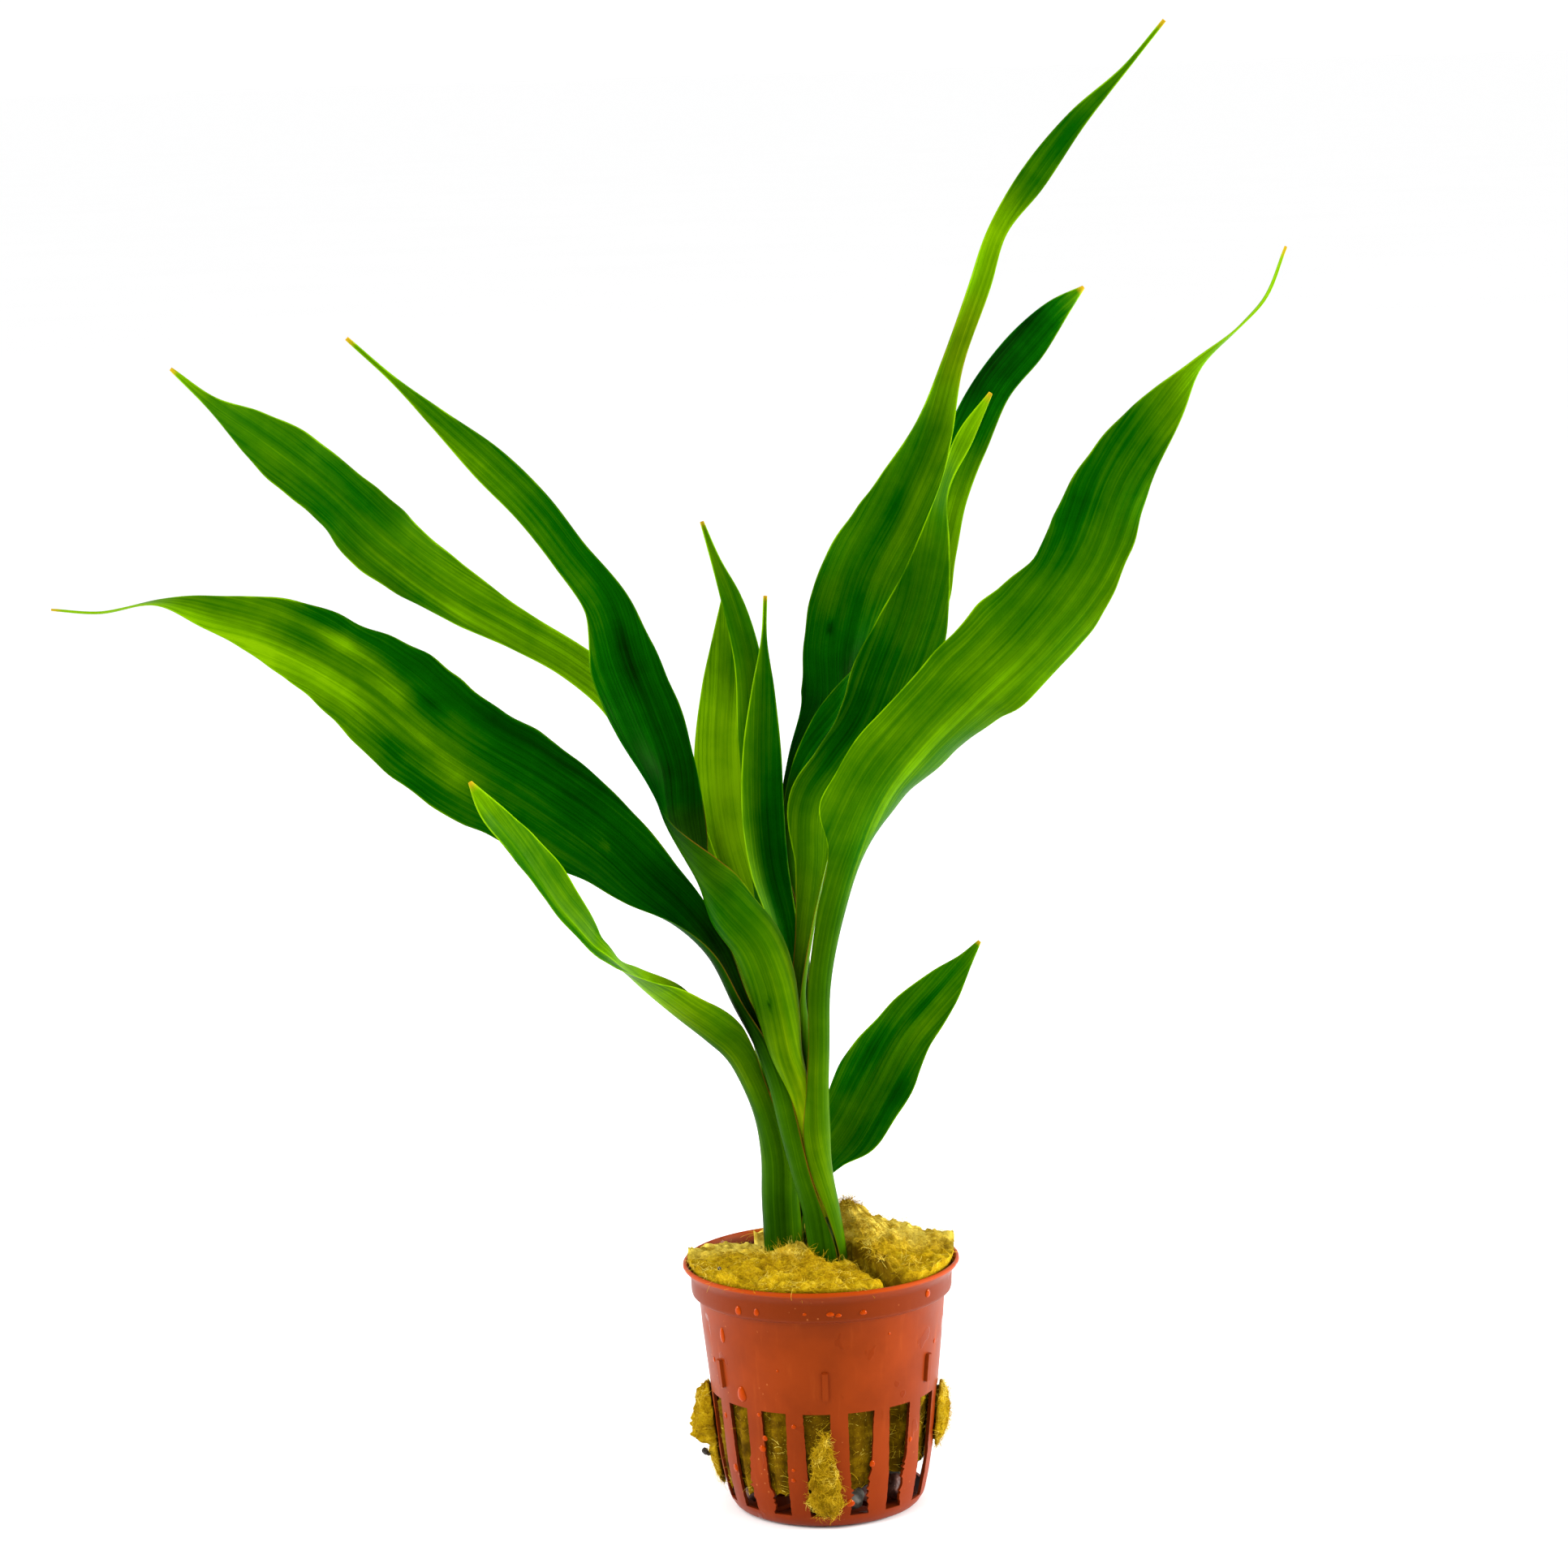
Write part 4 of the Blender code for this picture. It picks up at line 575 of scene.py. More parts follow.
# Stones: dark and light colour, and that of their grains.
# The pale stone's colours are darkened as painted shade of the pot's inside.
PALE_STONE_IN_SHADE = ((0.055, 0.05, 0.037), (0.14, 0.127, 0.10), (0.04, 0.036, 0.028))
REDDISH_STONE = ((0.05, 0.014, 0.008), (0.15, 0.055, 0.035), (0.28, 0.18, 0.14))
GRIT_COLOURS = ((0.004, 0.003, 0.002), (0.03, 0.02, 0.012))
CANE = [(0.35, (0.016, 0.075, 0.001)), (0.5, (0.04, 0.12, 0.002)), (0.65, (0.08, 0.17, 0.006))]
FLOOR_COLOURS = ((0.93, 0.93, 0.93), (0.95, 0.95, 0.95))


def smooth_rows(rows, shares):
    """Rows read off one smooth line through the given rows, at shares of its length."""
    rows = np.array(rows, dtype=float)
    steps = np.linalg.norm(np.diff(rows[:, :3], axis=0), axis=1)
    lengths = np.concatenate(([0.0], np.cumsum(steps)))
    chords = np.diff(rows, axis=0) / steps[:, None]
    before, after = steps[:-1, None], steps[1:, None]
    inner = (chords[:-1] * after + chords[1:] * before) / (before + after)
    slopes = np.vstack((chords[:1], inner, chords[-1:]))
    at = np.asarray(shares) * lengths[-1]
    k = np.clip(np.searchsorted(lengths, at, side="right") - 1, 0, len(steps) - 1)
    step = steps[k][:, None]
    t = ((at - lengths[k]) / steps[k])[:, None]
    return (rows[k] * (2 * t**3 - 3 * t**2 + 1) + slopes[k] * step * (t**3 - 2 * t**2 + t)
            + rows[k + 1] * (3 * t**2 - 2 * t**3) + slopes[k + 1] * step * (t**3 - t**2))


def unit(vectors):
    """Vectors brought to length 1."""
    return vectors / np.linalg.norm(vectors, axis=-1)[..., None]


def held(value):
    """Value kept between 0 and 1."""
    return min(1.0, max(0.0, value))


def risen(values, low, high):
    """How far values have gone from low to high, kept between 0 and 1."""
    return np.clip((values - low) / (high - low), 0.0, 1.0)


class Shading:
    """Short ways to add the nodes of one material."""

    def __init__(self, name):
        self.material = bpy.data.materials.new(name)
        self.material.use_nodes = True
        self.tree = self.material.node_tree
        self.shader = self.tree.nodes["Principled BSDF"]

    def put(self, value, socket):
        if isinstance(value, bpy.types.NodeSocket):
            self.tree.links.new(value, socket)
        elif isinstance(value, tuple) and len(value) == 3 and socket.type == "RGBA":
            socket.default_value = (*value, 1.0)
        else:
            socket.default_value = value

    def set(self, **values):
        for name, value in values.items():
            self.put(value, self.shader.inputs[name.replace("_", " ")])

    def attribute(self, name, output="Vector"):
        node = self.tree.nodes.new("ShaderNodeAttribute")
        node.attribute_name = name
        return node.outputs[output]

    def place(self):
        return self.tree.nodes.new("ShaderNodeTexCoord").outputs["Object"]

    def split(self, vector):
        node = self.tree.nodes.new("ShaderNodeSeparateXYZ")
        self.put(vector, node.inputs[0])
        return node.outputs

    def join(self, x, y, z):
        node = self.tree.nodes.new("ShaderNodeCombineXYZ")
        for value, socket in zip((x, y, z), node.inputs):
            self.put(value, socket)
        return node.outputs[0]

    def scaled(self, vector, scale):
        node = self.tree.nodes.new("ShaderNodeVectorMath")
        node.operation = "MULTIPLY"
        self.put(vector, node.inputs[0])
        node.inputs[1].default_value = scale
        return node.outputs[0]

    def math(self, operation, *values):
        node = self.tree.nodes.new("ShaderNodeMath")
        node.operation = operation
        for value, socket in zip(values, node.inputs):
            self.put(value, socket)
        return node.outputs[0]

    def times(self, first, second):
        return self.math("MULTIPLY", first, second)

    def total(self, *values):
        result = values[0]
        for value in values[1:]:
            result = self.math("ADD", result, value)
        return result

    def span(self, value, low, high, to_low=0.0, to_high=1.0):
        """Value taken smoothly from one range to another and held at its ends."""
        node = self.tree.nodes.new("ShaderNodeMapRange")
        node.interpolation_type = "SMOOTHSTEP"
        for item, socket in zip((value, low, high, to_low, to_high), node.inputs):
            self.put(item, socket)
        return node.outputs[0]

    def fall(self, value, low, high):
        """1 below low, 0 above high and smooth between."""
        return self.span(value, low, high, 1.0, 0.0)

    def noise(self, vector, scale, detail=3.0, roughness=0.55, distortion=0.0):
        node = self.tree.nodes.new("ShaderNodeTexNoise")
        self.put(vector, node.inputs["Vector"])
        node.inputs["Scale"].default_value = scale
        node.inputs["Detail"].default_value = detail
        node.inputs["Roughness"].default_value = roughness
        node.inputs["Distortion"].default_value = distortion
        return node.outputs[0]

    def cells(self, vector, scale):
        node = self.tree.nodes.new("ShaderNodeTexVoronoi")
        self.put(vector, node.inputs["Vector"])
        node.inputs["Scale"].default_value = scale
        return node.outputs["Distance"]

    def ramp(self, value, stops):
        node = self.tree.nodes.new("ShaderNodeValToRGB")
        self.put(value, node.inputs[0])
        marks = node.color_ramp.elements
        while len(marks) < len(stops):
            marks.new(0.5)
        for mark, (place, colour) in zip(marks, stops):
            mark.position = place
            mark.color = (*colour, 1.0)
        return node.outputs[0]

    def mix(self, share, first, second):
        node = self.tree.nodes.new("ShaderNodeMix")
        node.data_type = "RGBA"
        self.put(share, node.inputs["Factor"])
        self.put(first, node.inputs[6])
        self.put(second, node.inputs[7])
        return node.outputs[2]

    def laid_over(self, colour, *layers):
        """Colour with others laid over it one after the other, each given with its share."""
        for share, over in layers:
            colour = self.mix(share, colour, over)
        return colour

    def bump(self, height, strength, distance):
        node = self.tree.nodes.new("ShaderNodeBump")
        node.inputs["Strength"].default_value = strength
        node.inputs["Distance"].default_value = distance
        self.put(height, node.inputs["Height"])
        self.put(node.outputs[0], self.shader.inputs["Normal"])


def new_piece(name, mesh, material, sharp_from=SOFT_EDGE):
    """Object of the mesh in one material, shaded smoothly but for its sharp edges."""
    piece = bpy.data.objects.new(name, mesh)
    bpy.context.scene.collection.objects.link(piece)
    mesh.materials.append(material)
    mesh.shade_smooth()
    mesh.set_sharp_from_angle(angle=math.radians(sharp_from))
    return piece


def stand_for(piece, slot, *nodes):
    """Piece rides on the body and stands for the nodes; the slot is not used."""
    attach(piece, BODY)
    for node in nodes:
        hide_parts(node)


def mesh_from_arrays(name, points, faces):
    mesh = bpy.data.meshes.new(name)
    mesh.from_pydata([tuple(point) for point in points], [], faces)
    mesh.update()
    return mesh


def mesh_from_bmesh(name, work):
    """Mesh of the work with its faces turned outwards."""
    bmesh.ops.recalc_face_normals(work, faces=work.faces)
    mesh = bpy.data.meshes.new(name)
    work.to_mesh(mesh)
    work.free()
    return mesh


def leaf_material():
    """Waxy green with parallel veins, light margins that are partly a painted rim highlight, and a tone that
    each leaf brings along, which holds painted light and shade.
    """
    look = Shading("leaf blade")
    across, along, margin = look.split(look.attribute("blade"))
    tone = look.attribute("tone", "Fac")
    petiole = look.attribute("petiole", "Fac")
    veins = look.noise(look.join(look.times(across, VEINS[0]), look.times(along, VEINS[1]), tone), 1.0,
                       roughness=0.75)
    bands = look.noise(look.join(look.times(across, BANDS[0]), look.times(along, BANDS[1]), 0.0), 1.0)
    clouds = look.noise(look.place(), CLOUDS[0], detail=4.0, roughness=0.6)
    for layer, weight in ((veins, VEINS[2]), (bands, BANDS[2]), (clouds, CLOUDS[1])):
        tone = look.total(tone, look.times(look.math("SUBTRACT", layer, 0.5), weight))
    tone = look.total(tone, look.times(look.attribute("under", "Fac"), UNDERSIDE_LIGHTER))
    edge = look.times(look.fall(margin, 0.08, 0.34), look.span(clouds, 0.35, 0.6, 0.45, 1.0))
    # Light margins: partly their own paler green, partly a painted rim highlight.
    pale_and_highlit_edge = look.times(edge, look.math("SUBTRACT", 1.0, petiole))
    tone = look.total(tone, look.times(pale_and_highlit_edge, MARGIN_PALE_AND_RIM_HIGHLIGHT))
    green = look.mix(petiole, look.ramp(tone, GREENS), look.ramp(tone, PETIOLE_GREENS))
    specks = look.fall(look.cells(look.scaled(look.place(), (1.0, 1.0, 0.6)), 150.0), 0.03, 0.06)
    rare = look.span(look.noise(look.place(), 30.0), 0.63, 0.7)
    dry_edge = look.times(look.fall(margin, 0.05, 0.22), petiole)
    colour = look.laid_over(green, (look.times(specks, rare), LEAF_SPECK),
                            (look.times(dry_edge, look.span(clouds, 0.4, 0.6, 0.2, 0.9)), LEAF_DRY_EDGE),
                            (look.times(look.attribute("tip", "Fac"), 0.75), LEAF_DRY_TIP))
    look.set(Base_Color=colour, Roughness=look.span(clouds, 0.3, 0.7, 0.30, 0.44),
             Specular_IOR_Level=0.012, Specular_Tint=(0.6, 0.9, 0.02))
    fine = look.noise(look.join(look.times(across, 3.4), look.times(along, 0.03), 1.0), 1.0, detail=2.0)
    look.bump(look.total(look.times(fine, 0.6), look.times(veins, 0.5)), 0.5, 0.0002)
    return look.material


def half_section(curl_here, roundness):
    """How far out and up one half of a section reaches, from midrib to margin, for a half width of 1."""
    count = LEAF_ACROSS // 2 * SECTION_STEPS
    fine = (np.arange(count) + 0.5) / count
    slope = curl_here[:, None] / 2 * fine[None, :] ** roundness[:, None]
    start = np.zeros((len(curl_here), 1))
    out, up = (np.hstack((start, (np.cumsum(part, axis=1) / count)[:, SECTION_STEPS - 1::SECTION_STEPS]))
               for part in (np.cos(slope), np.sin(slope)))
    return out, up


def margin_wobble(travelled, beat):
    """In mm, how far the edge of a blade wanders in and out along the leaf."""
    return sum(height * np.array([noise.noise(Vector((spot / length, beat, seed))) for spot in travelled])
               for height, length, seed in WOBBLES)


def leaf_surface(name, rows, count, phase):
    """Middle surface of a leaf in mm, with its width and channel on each line across."""
    line = smooth_rows(rows, np.linspace(0.0, 1.0, count))
    middle = line[:, :3]
    width = np.maximum(line[:, 3], TIP_WIDTH)
    along = unit(np.gradient(middle, axis=0))
    front = np.array([0.0, -1.0, 0.0])
    facing = unit(front - along * (along @ front)[:, None])
    roll = np.radians(line[:, 4])[:, None]
    upper = facing * np.cos(roll) + np.cross(along, facing) * np.sin(roll)
    aside = np.cross(along, upper)
    channel = np.radians(line[:, 5])
    fold = np.radians(line[:, 6])
    travelled = np.concatenate(([0.0], np.cumsum(np.linalg.norm(np.diff(middle, axis=0), axis=1))))
    wide = np.clip(width / WAVE_LEAST_WIDTH - 1.0, 0.0, 1.0)
    open_blade = wide * np.clip(OPEN_LIMIT - channel / OPEN_CHANNEL, 0.0, 1.0)
    share = travelled / travelled[-1]
    start, full, strength = KEELS.get(name, (0.0, 1.0, 0.0))
    roundness = 1.0 - strength * risen(share, start, full)
    halves = {-1: half_section(channel, roundness), 1: half_section(channel + fold, roundness)}
    wobbles = {side: margin_wobble(travelled, phase + WOBBLE_SIDE_STEP * side) for side in (-1, 1)}
    grid = []
    for u in np.linspace(-1.0, 1.0, LEAF_ACROSS + 1):
        side = 1 if u > 0 else -1
        step = round(abs(u) * LEAF_ACROSS / 2)
        flat = 0.5 * width * side * halves[side][0][:, step]
        lift = 0.5 * width * halves[side][1][:, step]
        wobble = open_blade * abs(u) ** WOBBLE_EDGE_POWER * wobbles[side]
        flat = flat + side * wobble * np.cos(channel / 2)
        beat = phase + (WAVE_SIDE_STEP if u > 0 else 0.0)
        wave = WAVE_HEIGHT * np.sin(2 * math.pi * travelled / WAVE_LENGTH + beat)
        ripple = RIPPLE_HEIGHT * np.sin(2 * math.pi * travelled / RIPPLE_LENGTH + RIPPLE_BEAT * beat)
        edge = abs(u) ** WAVE_EDGE_POWER
        pleat = PLEAT_HEIGHT * np.cos(2 * math.pi * u * width / 2 / PLEAT_WIDTH) * (1.0 - edge)
        lift = lift + open_blade * (edge * (wave + ripple) + pleat)
        grid.append(middle + aside * flat[:, None] + upper * lift[:, None])
    return np.stack(grid, axis=1), width, channel, travelled


def skin_faces(count):
    """Faces of a leaf with count lines across: upper and under side, margins and ends."""
    across = LEAF_ACROSS + 1
    size = count * across
    faces = []
    for i in range(count - 1):
        for j in range(LEAF_ACROSS):
            a = i * across + j
            faces.append((a, a + 1, a + across + 1, a + across))
            faces.append((a + size, a + size + across, a + size + across + 1, a + size + 1))
        for j, turn in ((0, 1), (LEAF_ACROSS, -1)):
            a = i * across + j
            faces.append((a, a + across, a + across + size, a + size)[::turn])
    for i, turn in ((0, -1), (count - 1, 1)):
        for j in range(LEAF_ACROSS):
            a = i * across + j
            faces.append((a, a + 1, a + 1 + size, a + size)[::turn])
    return faces


def write_numbers(mesh, name, values):
    """Attribute of the mesh with one number for each point."""
    mesh.attributes.new(name, "FLOAT", "POINT").data.foreach_set("value", values.astype(np.float32).ravel())


def write_leaf_looks(name, number, mesh, u, width, channel, travelled):
    """Attributes that tell the leaf's material where it is: the same on both sides but for one."""
    half = width[:, None] / 2
    place = np.stack(np.broadcast_arrays(u * half + TEXTURE_STEP * number, travelled[:, None],
                                         (1.0 - np.abs(u)) * half), axis=-1)
    share = travelled / travelled[-1]
    # The tone holds painted light and shade along with the leaf's own green.
    stops, lean = LEAF_TONES_WITH_PAINTED_LIGHT[name]
    tone = np.interp(share, *zip(*stops))[:, None] + lean * u
    # Patches add painted sheen, highlights and shade to the leaf's own mottling.
    for spot, aside, reach, spread, lighter in LEAF_MOTTLE_SHEEN_AND_SHADE.get(name, []):
        tone = tone + lighter * np.exp(-((share[:, None] - spot) / reach) ** 2 - ((u - aside) / spread) ** 2)
    petiole = np.maximum(risen(channel, *PETIOLE_CHANNELS), risen(share, *SHEATH_SHARES))[:, None]
    tip = risen(share, *TIP_SHARES)[:, None]
    for title, values in (("tone", tone), ("tip", tip), ("petiole", petiole)):
        values = np.broadcast_to(values, tone.shape)
        write_numbers(mesh, title, np.stack((values, values)))
    write_numbers(mesh, "under", np.repeat(np.array([0.0, 1.0]), tone.size))
    kept = mesh.attributes.new("blade", "FLOAT_VECTOR", "POINT")
    kept.data.foreach_set("vector", np.stack((place, place)).astype(np.float32).ravel())


def build_leaf(name, number, material):
    """A leaf as a closed skin: an upper and an under side that meet in a thin margin."""
    rows = LEAVES[name]
    length = sum(math.dist(low[:3], high[:3]) for low, high in zip(rows, rows[1:]))
    count = round(length / LEAF_STEP)
    grid, width, channel, travelled = leaf_surface(name, rows, count, number * WAVE_BEAT_STEP)
    normal = unit(np.cross(np.gradient(grid, axis=1), np.gradient(grid, axis=0)))
    u = np.linspace(-1.0, 1.0, LEAF_ACROSS + 1)[None, :]
    body = 1.0 - np.abs(u) ** THICKNESS_POWER
    fleshy = np.clip(channel / PETIOLE_FULL_CHANNEL, 0.0, 1.0)[:, None] * PETIOLE_EXTRA
    thick = MARGIN_THICKNESS + (MIDRIB_THICKNESS - MARGIN_THICKNESS + fleshy) * body
    lift = normal * (np.minimum(thick, 0.5 * width[:, None]) / 2)[..., None]
    points = np.concatenate(((grid + lift).reshape(-1, 3), (grid - lift).reshape(-1, 3))) * MM
    mesh = mesh_from_arrays(name, points, skin_faces(count))
    write_leaf_looks(name, number, mesh, u, width, channel, travelled)
    stand_for(new_piece(name + "_blade", mesh, material), "leaf", name)


def pot_radius(height):
    """Radius in mm of the pot's outer wall at a height in mm."""
    heights = [point[1] for point in reversed(POT_OUTSIDE)]
    return float(np.interp(height, heights, [point[0] for point in reversed(POT_OUTSIDE)]))


def wall_room(height):
    """Largest radius in mm that rockwool may have at a height, inside the pot's wall."""
    if height > POT_OUTSIDE[0][1]:
        return math.inf
    heights = [point[1] for point in POT_INSIDE]
    return float(np.interp(height, heights, [point[0] for point in POT_INSIDE])) - WOOL_WALL_ROOM


def slot_angle(number):
    return math.radians(SLOT_FIRST_ANGLE + number * 360.0 / SLOT_COUNT)


def pot_material():
    """Orange moulded plastic: a little glossy and scuffed, wet in patches, with a painted highlight on the
    lip, painted shade on the collar and low down, and painted shade on its inner side.
    """
    look = Shading("terracotta plastic")
    place = look.place()
    x, y, z = look.split(place)
    clouds = look.noise(place, 60.0, detail=4.0, roughness=0.6)
    grain = look.noise(place, 900.0, detail=2.0)
    streaks = look.noise(look.scaled(place, (1.0, 1.0, 0.12)), 420.0)
    below_lip = look.fall(z, 0.0480, 0.0492)
    # Painted shade on the collar below the lip.
    shade_under_lip = look.times(look.span(z, 0.0435, 0.0450), below_lip)
    wet = look.span(look.noise(look.scaled(place, (1.0, 1.0, 0.8)), 190.0, detail=2.0, distortion=0.3),
                    0.66, 0.70)
    dust = look.times(look.fall(look.cells(place, 700.0), 0.10, 0.16),
                      look.span(look.noise(place, 90.0), 0.58, 0.66))
    facing = look.split(look.tree.nodes.new("ShaderNodeTexCoord").outputs["Normal"])
    outward = look.total(look.times(x, facing[0]), look.times(y, facing[1]))
    # Painted shade on faces turned into the pot, below the lip.
    inner = look.times(look.fall(outward, -0.004, 0.0), look.span(z, 0.0480, 0.0492, 1.0, 0.2))
    base = look.laid_over(look.mix(look.span(clouds, 0.35, 0.65), POT_DARK, POT_LIGHT),
                          (look.times(look.span(streaks, 0.55, 0.75), 0.22), POT_STREAK),
                          # painted highlight along the lip
                          (look.times(look.span(z, 0.0494, 0.0502), 0.85), POT_LIP_HIGHLIGHT),
                          # painted shade under the lip
                          (look.times(shade_under_lip, 0.8), POT_COLLAR_SHADE),
                          # painted shade low down
                          (look.times(look.fall(z, 0.0, 0.022), 0.35), POT_FOOT_SHADE),
                          (look.times(wet, 0.24), POT_WET),
                          (look.times(dust, 0.5), POT_DUST),
                          # painted shade inside the pot
                          (look.times(inner, 0.9), POT_INNER_SHADE))
    rough_wall = look.math("SUBTRACT", look.span(clouds, 0.3, 0.7, 0.36, 0.5), look.times(wet, 0.24))
    look.set(Base_Color=base, Roughness=rough_wall, Specular_IOR_Level=0.13,
             Specular_Tint=(1.0, 0.6, 0.3))
    look.bump(look.total(look.times(grain, 0.25), look.times(wet, 0.9), look.times(clouds, 0.8)),
              0.35, 0.00012)
    return look.material


def torn_edge(number, height, side, dice):
    """How far in mm an edge of a slot stands into it at a height: a little noise, more where it is torn."""
    depth = SLOT_ROUGHNESS * (2.0 * dice.random() - 1.0)
    if number in TORN_SLOTS:
        low, high, torn = TORN_SLOTS[number]
        if low < height < high and (number + side) % 3 != 1:
            swell = math.sin(math.pi * (height - low) / (high - low)) ** FLASH_FULLNESS
            uneven = dice.random() ** FLASH_UNEVENNESS
            depth += torn * swell * (FLASH_LEAST + (1.0 - FLASH_LEAST) * uneven)
    return depth


def slot_cutter(number):
    """Block through the wall whose outline is the slot's, slightly uneven."""
    dice = random.Random(number)
    outline = []
    for side in (-1, 1):
        line = []
        for k in range(SLOT_POINTS + 1):
            rise = k / SLOT_POINTS
            height = SLOT_BOTTOM + (SLOT_TOP - SLOT_BOTTOM) * rise
            half = (SLOT_BOTTOM_WIDTH + (SLOT_TOP_WIDTH - SLOT_BOTTOM_WIDTH) * rise) / 2
            line.append((side * (half - torn_edge(number, height, side, dice)), height))
        outline += line if side < 0 else line[::-1]
    work = bmesh.new()
    rings = [[work.verts.new((radius * MM, y * MM, z * MM)) for y, z in outline]
             for radius in SLOT_CUT_RADII]
    count = len(outline)
    for i in range(count):
        work.faces.new((rings[0][i], rings[0][(i + 1) % count], rings[1][(i + 1) % count], rings[1][i]))
    for ring in rings:
        work.faces.new(ring)
    bmesh.ops.triangulate(work, faces=[face for face in work.faces if len(face.verts) > 4])
    bmesh.ops.rotate(work, verts=work.verts, matrix=Matrix.Rotation(slot_angle(number), 3, "Z"))
    return work


def add_box(work, size, matrix):
    """Box of a size in mm, put in place by the matrix."""
    made = bmesh.ops.create_cube(work, size=1.0)["verts"]
    bmesh.ops.scale(work, vec=Vector(size) * MM, verts=made)
    bmesh.ops.transform(work, matrix=matrix, verts=made)


def turned_mesh(name, profile, steps):
    """Profile of radius and height in mm, turned round the Z axis into a closed mesh."""
    points, faces, rings = [], [], []
    for radius, height in profile:
        if radius == 0.0:
            rings.append([len(points)] * steps)
            points.append((0.0, 0.0, height * MM))
            continue
        rings.append(range(len(points), len(points) + steps))
        for i in range(steps):
            angle = 2 * math.pi * i / steps
            points.append((radius * MM * math.cos(angle), radius * MM * math.sin(angle), height * MM))
    for low, high in zip(rings, rings[1:]):
        for i in range(steps):
            j = (i + 1) % steps
            faces.append(tuple(dict.fromkeys((low[i], low[j], high[j], high[i]))))
    return mesh_from_arrays(name, points, faces)


def pot_openings():
    """Blocks that cut the slots of the wall and of the floor, in a collection of their own."""
    blocks = {f"slot_{number}": slot_cutter(number) for number in range(SLOT_COUNT)}
    width, length, depth = DRAIN_SIZE
    for number in range(DRAIN_COUNT):
        turn = Matrix.Rotation(math.radians(number * 360.0 / DRAIN_COUNT), 4, "Z")
        blocks[f"drain_{number}"] = bmesh.new()
        add_box(blocks[f"drain_{number}"], (length, width, depth),
                turn @ Matrix.Translation((DRAIN_RADIUS * MM, 0.0, 0.0)))
    cutters = bpy.data.collections.new("pot cutters")
    bpy.context.scene.collection.children.link(cutters)
    for name, work in blocks.items():
        cutters.objects.link(bpy.data.objects.new(name, mesh_from_bmesh(name, work)))
    return cutters


def build_pot(material):
    profile = [(0.0, FLOOR_THICKNESS)] + POT_INSIDE + POT_OUTSIDE + [(0.0, 0.0)]
    pot = new_piece("pot_wall", turned_mesh("pot_wall", profile, POT_STEPS), material, PLASTIC_EDGE)
    cutters = pot_openings()
    cut = pot.modifiers.new("openings", "BOOLEAN")
    cut.operation = "DIFFERENCE"
    cut.operand_type = "COLLECTION"
    cut.collection = cutters
    cut.solver = "EXACT"
    apply_modifiers(pot)
    for cutter in list(cutters.objects):
        bpy.data.objects.remove(cutter, do_unlink=True)
    bpy.data.collections.remove(cutters)
    pot.data.set_sharp_from_angle(angle=math.radians(PLASTIC_EDGE))
    stand_for(pot, "pot", "net_pot")


def apply_modifiers(piece):
    """Mesh of the piece replaced by its own evaluated one, so no modifier is left on it."""
    made = bpy.data.meshes.new_from_object(piece.evaluated_get(bpy.context.evaluated_depsgraph_get()))
    piece.modifiers.clear()
    piece.data = made


def build_fins(material):
    work = bmesh.new()
    width, depth, height = FIN_SIZE
    for number in range(FIN_COUNT):
        angle = math.radians(270.0 + number * 360.0 / FIN_COUNT)
        place = (FIN_RADIUS * MM * math.cos(angle), FIN_RADIUS * MM * math.sin(angle), FIN_HEIGHT * MM)
        matrix = (Matrix.Translation(place) @ Matrix.Rotation(angle, 4, "Z")
                  @ Matrix.Rotation(math.radians(FIN_LEAN), 4, "Y"))
        add_box(work, (depth, width, height), matrix)
    bmesh.ops.bevel(work, geom=list(work.edges), offset=FIN_BEVEL * MM, segments=2, affect="EDGES")
    stand_for(new_piece("pot_fins", mesh_from_bmesh("pot_fins", work), material, SMALL_EDGE), "pot")


def drop_material():
    look = Shading("water drop")
    look.set(Base_Color=look.mix(look.noise(look.place(), 800.0), *DROP_COLOURS), Roughness=0.06,
             Specular_IOR_Level=0.14, Specular_Tint=(1.0, 0.5, 0.2))
    return look.material


def build_drops(material):
    """Low domes of water on the wall, heavier towards their lower end."""
    work = bmesh.new()
    for number, (angle, height, radius, tall) in enumerate(DROPS):
        made = bmesh.ops.create_icosphere(work, subdivisions=3, radius=1.0)["verts"]
        wall = pot_radius(height)
        slope = (pot_radius(height + 0.6) - pot_radius(height - 0.6)) / 1.2
        for vert in made:
            x, y, z = vert.co
            spot = Vector((y * DROP_WOBBLE_TURNS, z * DROP_WOBBLE_TURNS, number * 5.0))
            wobble = 1.0 + DROP_WOBBLE * noise.noise(spot)
            aside = y * radius * (1.0 - DROP_SAG * z) * wobble
            up = z * radius * tall
            distance = wall + slope * up + x * radius * DROP_FLATNESS
            turn = math.radians(angle) + aside / wall
            vert.co = Vector((distance * math.cos(turn), distance * math.sin(turn), height + up)) * MM
    drops = new_piece("water_drops", mesh_from_bmesh("water_drops", work), material, SMALL_EDGE)
    stand_for(drops, "pot")


def closed_outline(points, count):
    """Even points round a smooth closed line through the given ones."""
    looped = points[-3:] + points + points[:3]
    steps = np.linalg.norm(np.diff(np.array(looped)[:, :3], axis=0), axis=1)
    lengths = np.concatenate(([0.0], np.cumsum(steps)))
    first, last = lengths[3], lengths[len(points) + 3]
    return smooth_rows(looped, np.linspace(first, last, count, endpoint=False) / lengths[-1])


def rough(x, y, z, grain, seed):
    """Smooth noise of about -1 to 1 at a place in mm."""
    return noise.noise(Vector((x / grain + seed, y / grain - seed, z / grain)))


